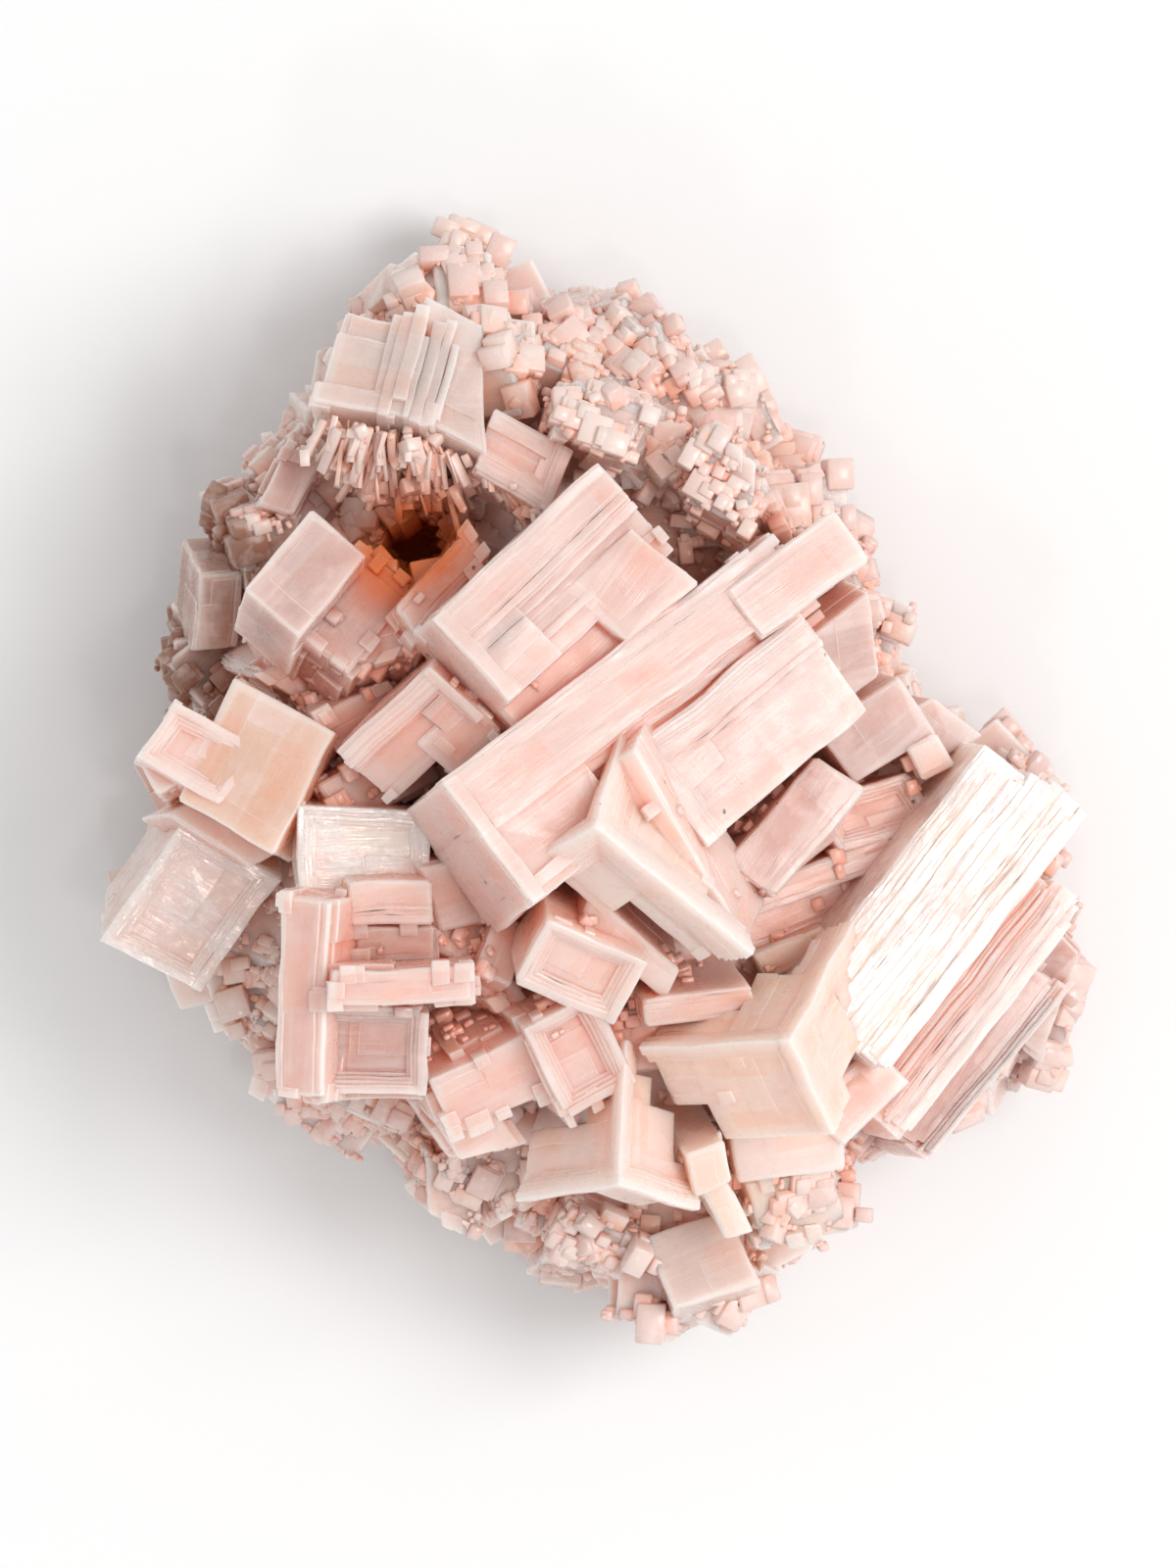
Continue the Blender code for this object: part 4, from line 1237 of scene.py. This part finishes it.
TOP_CLUMPS = 2100
SIDE_CLUMPS = 1150
TOP_SIZES = (0.9, 3.2)  # of a clump's largest cube
SIDE_SIZES = (1.2, 4.0)
SMALL_TILT = math.radians(50)
SMALL_SHARP = math.radians(50)  # over their bevels, so small cubes look rounded
FIELD_LENGTH = 9.0  # small cubes nearer than this to each other lean much the same way
FIELD_TILT = 0.9
LOOSE_SHARE = 0.12  # of the clumps, which lean any way
CUBES_A_BATCH = 80
CRUSTY = {
    "round crystal", "crust cube", "peach foot", "low shelf", "low corner", "low step",
    "left foot", "left ledge", "outer chunk foot",
}


def is_crusty(index, crystals):
    """Whether small crystals grow here: on the mass and on the crust, not on clean faces."""
    return index < 0 or crystals[index].name == "crust" or crystals[index].name in CRUSTY


def small_cube(bm, rng, centre, size, turn):
    """One small cube in the shared mesh of its batch."""
    edges = [size * MM * rng.uniform(0.7, 1.35) for _ in range(3)]
    place = Matrix.Translation(centre) @ turn.to_4x4() @ Matrix.Diagonal(edges + [1.0])
    return bmesh.ops.create_cube(bm, size=1.0, matrix=place)["verts"]


def growth_turn(rng, place, crystal):
    """How small cubes are turned: like the crystal they grow on, or like their neighbours."""
    if rng.random() < LOOSE_SHARE:
        return leaning(rng, SMALL_TILT)
    if crystal:
        first, second, _ = crystal.axes
        third = first.cross(second).normalized()
        return Matrix((first, third.cross(first), third)).transposed()
    field = noise.noise_vector(place / (FIELD_LENGTH * MM))
    turn = Matrix.Rotation(field.z * math.pi, 3, "Z")
    return Matrix.Rotation(field.x * FIELD_TILT, 3, "X") @ (
        Matrix.Rotation(field.y * FIELD_TILT, 3, "Y") @ turn
    )


def mostly_small(rng, sizes, bend):
    """A size between two, more often near the first."""
    return sizes[0] + (sizes[1] - sizes[0]) * rng.random() ** bend


def crust_tint(rng, place, choices):
    tint = Vector(rng.choice(choices))
    # Painted shade: small cubes on the shaded left side take the dark brown.
    return Vector(SHADE_BROWN) if in_painted_shade(place) else tint


def small_clump(batches, rng, place, normal, sizes, count, turn, tint):
    """A few small cubes grown parallel to each other round one place, half sunk in it."""
    spread = sizes[1] * 0.6
    for number in range(count):
        size = mostly_small(rng, sizes, 1.8)
        away = any_direction(rng) * spread * 0.5
        away *= min(1.0, spread / away.length)
        away -= normal * away.dot(normal) * 0.75
        centre = place + (away - normal * size * 0.16) * MM
        if centre.z < size * 0.75 * MM:
            continue
        own = leaning(rng, math.radians(5)) @ turn if number % 5 == 4 else turn
        batches.mark(small_cube(batches.bm, rng, centre, size, own), tint * rng.uniform(0.98, 1.02))


def needle(bm, rng, start, end, width):
    """A thin square rod between two places."""
    along = end - start
    side = along.orthogonal().normalized()
    side = Matrix.Rotation(rng.uniform(0, math.pi / 2), 3, along.normalized()) @ side
    other = along.cross(side).normalized()
    turn = Matrix([side * width * MM, other * width * MM * rng.uniform(0.6, 2.0), along])
    place = Matrix.Translation((start + end) * 0.5) @ turn.transposed().to_4x4()
    return bmesh.ops.create_cube(bm, size=1.0, matrix=place)["verts"]


class Batches:
    """Many small shapes in one mesh, made a batch at a time so that it stays quick."""

    def __init__(self, soft):
        self.soft = soft
        self.meshes = []
        self.begin()

    def begin(self):
        self.bm = bmesh.new()
        self.colour = self.bm.verts.layers.float_vector.new("colour")
        self.inside = 0

    def mark(self, verts, tint):
        for vert in verts:
            vert[self.colour] = tint
        self.inside += 1
        if self.inside >= CUBES_A_BATCH:
            self.close()
            self.begin()

    def close(self):
        soften(self.bm, self.soft, clamp=True)
        mesh = bpy.data.meshes.new("batch")
        self.bm.to_mesh(mesh)
        self.bm.free()
        self.meshes.append(mesh)

    def whole(self):
        self.close()
        joined = bmesh.new()
        for mesh in self.meshes:
            joined.from_mesh(mesh)
            bpy.data.meshes.remove(mesh)
        bmesh.ops.triangulate(joined, faces=joined.faces)
        bmesh.ops.recalc_face_normals(joined, faces=joined.faces)
        return joined


def crusty_spot(tree, marks, crystals, start, direction):
    """Where a ray meets the crust, or None where it meets a clean crystal face."""
    place, normal, face, _ = tree.ray_cast(start, direction)
    if place is None or not is_crusty(marks[face], crystals):
        return None, None, None
    return place, normal, crystals[marks[face]] if marks[face] >= 0 else None


def top_sugar(rng, tree, marks, crystals):
    """Small cubes over the crust, wherever it lies open to the top."""
    batches = Batches(0.17)
    for _ in range(TOP_CLUMPS):
        angle = rng.uniform(0, 2 * math.pi)
        x, y = outline_place(angle, 0.3, rng.random() ** 0.5)
        start = plan(x, y, 100.0)
        down = Vector((0, 0, -1))
        place, normal, host = crusty_spot(tree, marks, crystals, start, down)
        if place is None:
            continue
        largest = mostly_small(rng, TOP_SIZES, 1.6)
        tint = crust_tint(rng, place, (BLOSSOM, CRUST, CRUST))
        small_clump(batches, rng, place, normal, (0.35, largest), rng.randint(4, 8),
                    growth_turn(rng, place, host), tint)
    return batches.whole()


def side_sugar(rng, tree, marks, crystals):
    """Small cubes over the sides, all the way round, down to the foot."""
    batches = Batches(0.18)
    for _ in range(SIDE_CLUMPS):
        angle = rng.uniform(0, 2 * math.pi)
        level = 1.2 + 38.0 * rng.random() ** 1.3
        out = outward(angle, rng.uniform(-0.25, 0.45))
        out.rotate(Matrix.Rotation(rng.uniform(-0.5, 0.5), 3, "Z"))
        start = plan(*OUTLINE_HEART, level) + out * 0.12
        place, normal, host = crusty_spot(tree, marks, crystals, start, -out)
        if place is None or place.z < 1.2 * MM:
            continue
        largest = mostly_small(rng, SIDE_SIZES, 1.6)
        tint = crust_tint(rng, place, (PALE_ROSE, BLOSSOM, CRUST, PALE_ROSE))
        small_clump(batches, rng, place, normal, (0.5, min(largest, place.z / MM * 0.9)),
                    rng.randint(3, 7), growth_turn(rng, place, host), tint)
    return batches.whole()


# Faces that stay clean of small cubes.
CLEAN = {
    "upper bar", "long bar", "third bar", "middle star", "right star", "lower star",
    "great plate", "plate terrace", "yellow cube", "left cube", "upper block", "crown",
    "bright slab", "bright square", "under star", "right block", "right slab", "pale wing",
}
GAP_CLUMPS = 2200
GAP_SIZES = (0.6, 2.0)
PIT_CLUMPS = 70
PIT_LEVELS = (20.0, 40.0)
GAP_RAYS = 7
GAP_REACH = 7.0
SHUT_IN = 0.8  # the share of rays that must meet a wall for a place to be a gap


def gap_sugar(rng, tree, marks, crystals):
    """Small cubes low in the gaps between the big crystals, each parallel to its crystal."""
    batches = Batches(0.12)
    for _ in range(GAP_CLUMPS):
        x, y = outline_place(rng.uniform(0, 2 * math.pi), 3.0, rng.random() ** 0.5)
        place, normal, face, _ = tree.ray_cast(plan(x, y, 100.0), Vector((0, 0, -1)))
        if place is None or is_crusty(marks[face], crystals):
            continue
        if crystals[marks[face]].name in CLEAN:
            continue
        met = 0
        for _ in range(GAP_RAYS):
            out = Vector((rng.gauss(0, 1), rng.gauss(0, 1), rng.uniform(0.2, 1.2))).normalized()
            start = place + (normal * 0.3 + out * 0.3) * MM
            met += tree.ray_cast(start, out, GAP_REACH * MM)[0] is not None
        if met < SHUT_IN * GAP_RAYS:
            continue
        host = crystals[marks[face]]
        largest = rng.uniform(*GAP_SIZES)
        tint = Vector(host.tint)
        small_clump(batches, rng, place, normal, (0.35, largest), rng.randint(3, 6),
                    growth_turn(rng, place, host), tint)
    for _ in range(PIT_CLUMPS):
        start = plan(PIT_PLACE[0], PIT_PLACE[1], rng.uniform(*PIT_LEVELS))
        angle = rng.uniform(0, 2 * math.pi)
        out = outward(angle, rng.uniform(-0.8, 0.1))
        place, normal, _, _ = tree.ray_cast(start, out, 9.0 * MM)
        if place is not None:
            small_clump(batches, rng, place, normal, (0.8, 3.6), rng.randint(2, 4),
                        growth_turn(rng, place, None), Vector(PALE_ROSE))
    return batches.whole()


# The curtain of needles that hangs over the pit from the crown, and the roof's fringe:
# where its upper edge starts and ends, its level, how its needles lean at both ends.
CURTAINS = (
    ((33.0, 43.5), (46.5, 46.5), 42.0, math.radians(28), math.radians(-20), 90, (2.0, 5.5)),
    ((36.0, 46.5), (46.5, 49.5), 38.0, math.radians(30), math.radians(-35), 70, (1.5, 4.5)),
    ((47.0, 46.5), (55.5, 52.0), 42.0, math.radians(-10), math.radians(-30), 40, (1.0, 2.5)),
)
NEEDLE_WIDTH = (0.25, 0.8)


def needles(rng, *_):
    """Thin rods that fan out and down, with small cubes among their roots and tips."""
    batches = Batches(0.05)
    for first, last, level, lean_first, lean_last, count, reach in CURTAINS:
        for _ in range(count):
            share = rng.random()
            x = first[0] + (last[0] - first[0]) * share + rng.uniform(-0.6, 0.6)
            y = first[1] + (last[1] - first[1]) * share + rng.uniform(-1.4, 1.0)
            lean = lean_first + (lean_last - lean_first) * share + rng.uniform(-0.35, 0.35)
            length = rng.uniform(*reach)
            start = plan(x, y, level - rng.uniform(0.0, 4.0))
            end = start + run(-math.sin(lean) * length, math.cos(lean) * length,
                              length * rng.uniform(-0.1, 1.1))
            tint = Vector(CRUST) * rng.uniform(0.92, 1.04)
            batches.mark(needle(batches.bm, rng, start, end, rng.uniform(*NEEDLE_WIDTH)), tint)
            if rng.random() < 0.4:
                spot = start.lerp(end, rng.choice((0.0, 0.1, 0.3, 0.95)))
                size = rng.uniform(0.5, 1.7)
                batches.mark(small_cube(batches.bm, rng, spot, size, leaning(rng, SMALL_TILT)),
                             tint)
    return batches.whole()


def dress_small(name, bm, tree, material):
    """Gives a mesh of small pieces what its material reads."""
    tint = bm.loops.layers.float_color.new("tint")
    colour = bm.verts.layers.float_vector["colour"]
    hollow = bm.verts.layers.float.new("hollow")
    pit = bm.verts.layers.float.new("pit")
    bm.normal_update()
    for vert, shut in zip(bm.verts, hollowness(bm, random.Random(SEED + 5), [tree])):
        vert[hollow] = shut
        vert[pit] = pit_share(vert.co)
    for face in bm.faces:
        for loop in face.loops:
            loop[tint] = (*loop.vert[colour], 1.0)
    bm.verts.layers.float_vector.remove(colour)
    return finished(name, bm, material, SMALL_SHARP)


def small_pieces(whole, crystals, material):
    """The crust of small crystals and the needles, as meshes of their own."""
    tree = BVHTree.FromBMesh(whole)
    mark = whole.faces.layers.int["crystal"]
    marks = [face[mark] for face in whole.faces]
    rng = random.Random(SEED + 3)
    pieces = []
    for name, grow in (("top_sugar", top_sugar), ("side_sugar", side_sugar),
                       ("gap_sugar", gap_sugar), ("needle_curtain", needles)):
        pieces.append(dress_small(name, grow(rng, tree, marks, crystals), tree, material))
    return pieces


def saw_cutter():
    bm = bmesh.new()
    saw_size = (SAW_WIDTH * MM, SAW_WIDTH * MM, SAW_DEPTH * MM, 1.0)
    middle = -0.5 * SAW_DEPTH * MM
    below = Matrix.Translation((0, 0, middle)) @ Matrix.Diagonal(saw_size)
    bmesh.ops.create_cube(bm, size=1.0, matrix=below)
    return new_object("saw", bm, bpy.context.scene.collection)


def pit_cutter():
    bm = bmesh.new()
    size = Matrix.Diagonal([radius * MM for radius in PIT_RADII] + [1.0])
    shape = Matrix.Translation(plan(*PIT_PLACE)) @ size
    bmesh.ops.create_icosphere(bm, subdivisions=ROUND_DIVISIONS, radius=1.0, matrix=shape)
    return new_object("pit", bm, bpy.context.scene.collection)


def build_cluster(milky, sugar):
    rng = random.Random(SEED)
    detail_rng = random.Random(SEED + 1)
    crystals = corner_crystals(detail_rng) + flat_crystals(detail_rng)
    mass = salt_mass()
    crystals += crust_cubes(rng, detail_rng, mass)
    mass.free()
    whole = grown_together(crystals)
    pieces = small_pieces(whole, crystals, sugar)
    split_long_edges(whole, LONGEST_EDGE)
    drop_flaps(whole)
    waver(whole)
    whole.normal_update()
    write_looks(whole, crystals, detail_rng)
    for layer in ("crystal", "edge"):
        whole.faces.layers.int.remove(whole.faces.layers.int[layer])
    pieces.append(finished("grown_halite", whole, milky, SHARP))
    return pieces


def soft_lamp(name, place, size, power):
    lamp = bpy.data.lights.new(name, "AREA")
    lamp.size = size
    lamp.energy = power
    lamp.color = LAMP_COLOUR
    made = bpy.data.objects.new(name, lamp)
    made.location = place
    made.visible_camera = False
    made.rotation_euler = (LAMP_AIM - place).to_track_quat("-Z", "Y").to_euler()
    bpy.context.scene.collection.objects.link(made)


CAMERA_HEIGHT = 3.0
VIEW_LENGTH = 0.160  # of the sheet, along the taller side of the frame
VIEW_MIDDLE = (60.0, 80.0)
FOCUS_LEVEL = 36.0


FLOOR_REACH = 3.0
FLOOR_COLOUR = (0.90, 0.90, 0.90, 1.0)
LAMP_AIM = Vector((0, 0, 0.03))
LAMP_COLOUR = (1.0, 0.988, 0.976)
LAMPS = (  # name, direction from the cluster, distance, size, power
    ("key", (0.60, 0.085, 0.795), 3.46, 1.7, 60.0),
    ("low_glint", (0.05, -0.62, 0.78), 3.0, 0.22, 4.0),
    ("left_glint", (0.14, -0.20, 0.97), 3.4, 0.2, 5.0),
)
ROOM_COLOUR = (0.975, 0.985, 0.99, 1)
ROOM_STRENGTH = 0.70
BOUNCES = {"max": 5, "transmission": 2, "glossy": 3, "diffuse": 3}


def studio():
    """Pale floor, a big soft lamp from the right, two small ones and a bright room."""
    floor = bmesh.new()
    bmesh.ops.create_grid(floor, x_segments=1, y_segments=1, size=FLOOR_REACH)
    made = new_object("floor", floor, bpy.context.scene.collection)
    paper = Craft("pale_paper")
    paper.surface.inputs["Base Color"].default_value = FLOOR_COLOUR
    paper.surface.inputs["Roughness"].default_value = 0.9
    made.data.materials.append(paper.material)

    for name, direction, distance, size, power in LAMPS:
        soft_lamp(name, LAMP_AIM + Vector(direction).normalized() * distance, size, power)
    world = bpy.data.worlds.new("room")
    world.use_nodes = True
    sky = world.node_tree.nodes["Background"].inputs
    sky["Color"].default_value = ROOM_COLOUR
    sky["Strength"].default_value = ROOM_STRENGTH
    bpy.context.scene.world = world

    lens = bpy.data.cameras.new("camera")
    lens.sensor_width = 36.0
    lens.lens = 36.0 * (CAMERA_HEIGHT - FOCUS_LEVEL * MM) / VIEW_LENGTH
    lens.clip_end = 20.0
    camera = bpy.data.objects.new("camera", lens)
    camera.location = plan(*VIEW_MIDDLE) + Vector((0, 0, CAMERA_HEIGHT))
    bpy.context.scene.collection.objects.link(camera)
    bpy.context.scene.camera = camera
    bpy.context.scene.view_settings.view_transform = "Standard"
    for kind, most in BOUNCES.items():
        setattr(bpy.context.scene.cycles, kind + "_bounces", most)


for piece in build_cluster(milky_salt("rose_halite"), sugar_salt("sugar_halite")):
    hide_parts("halite_cluster")
    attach(piece, "root")
studio()
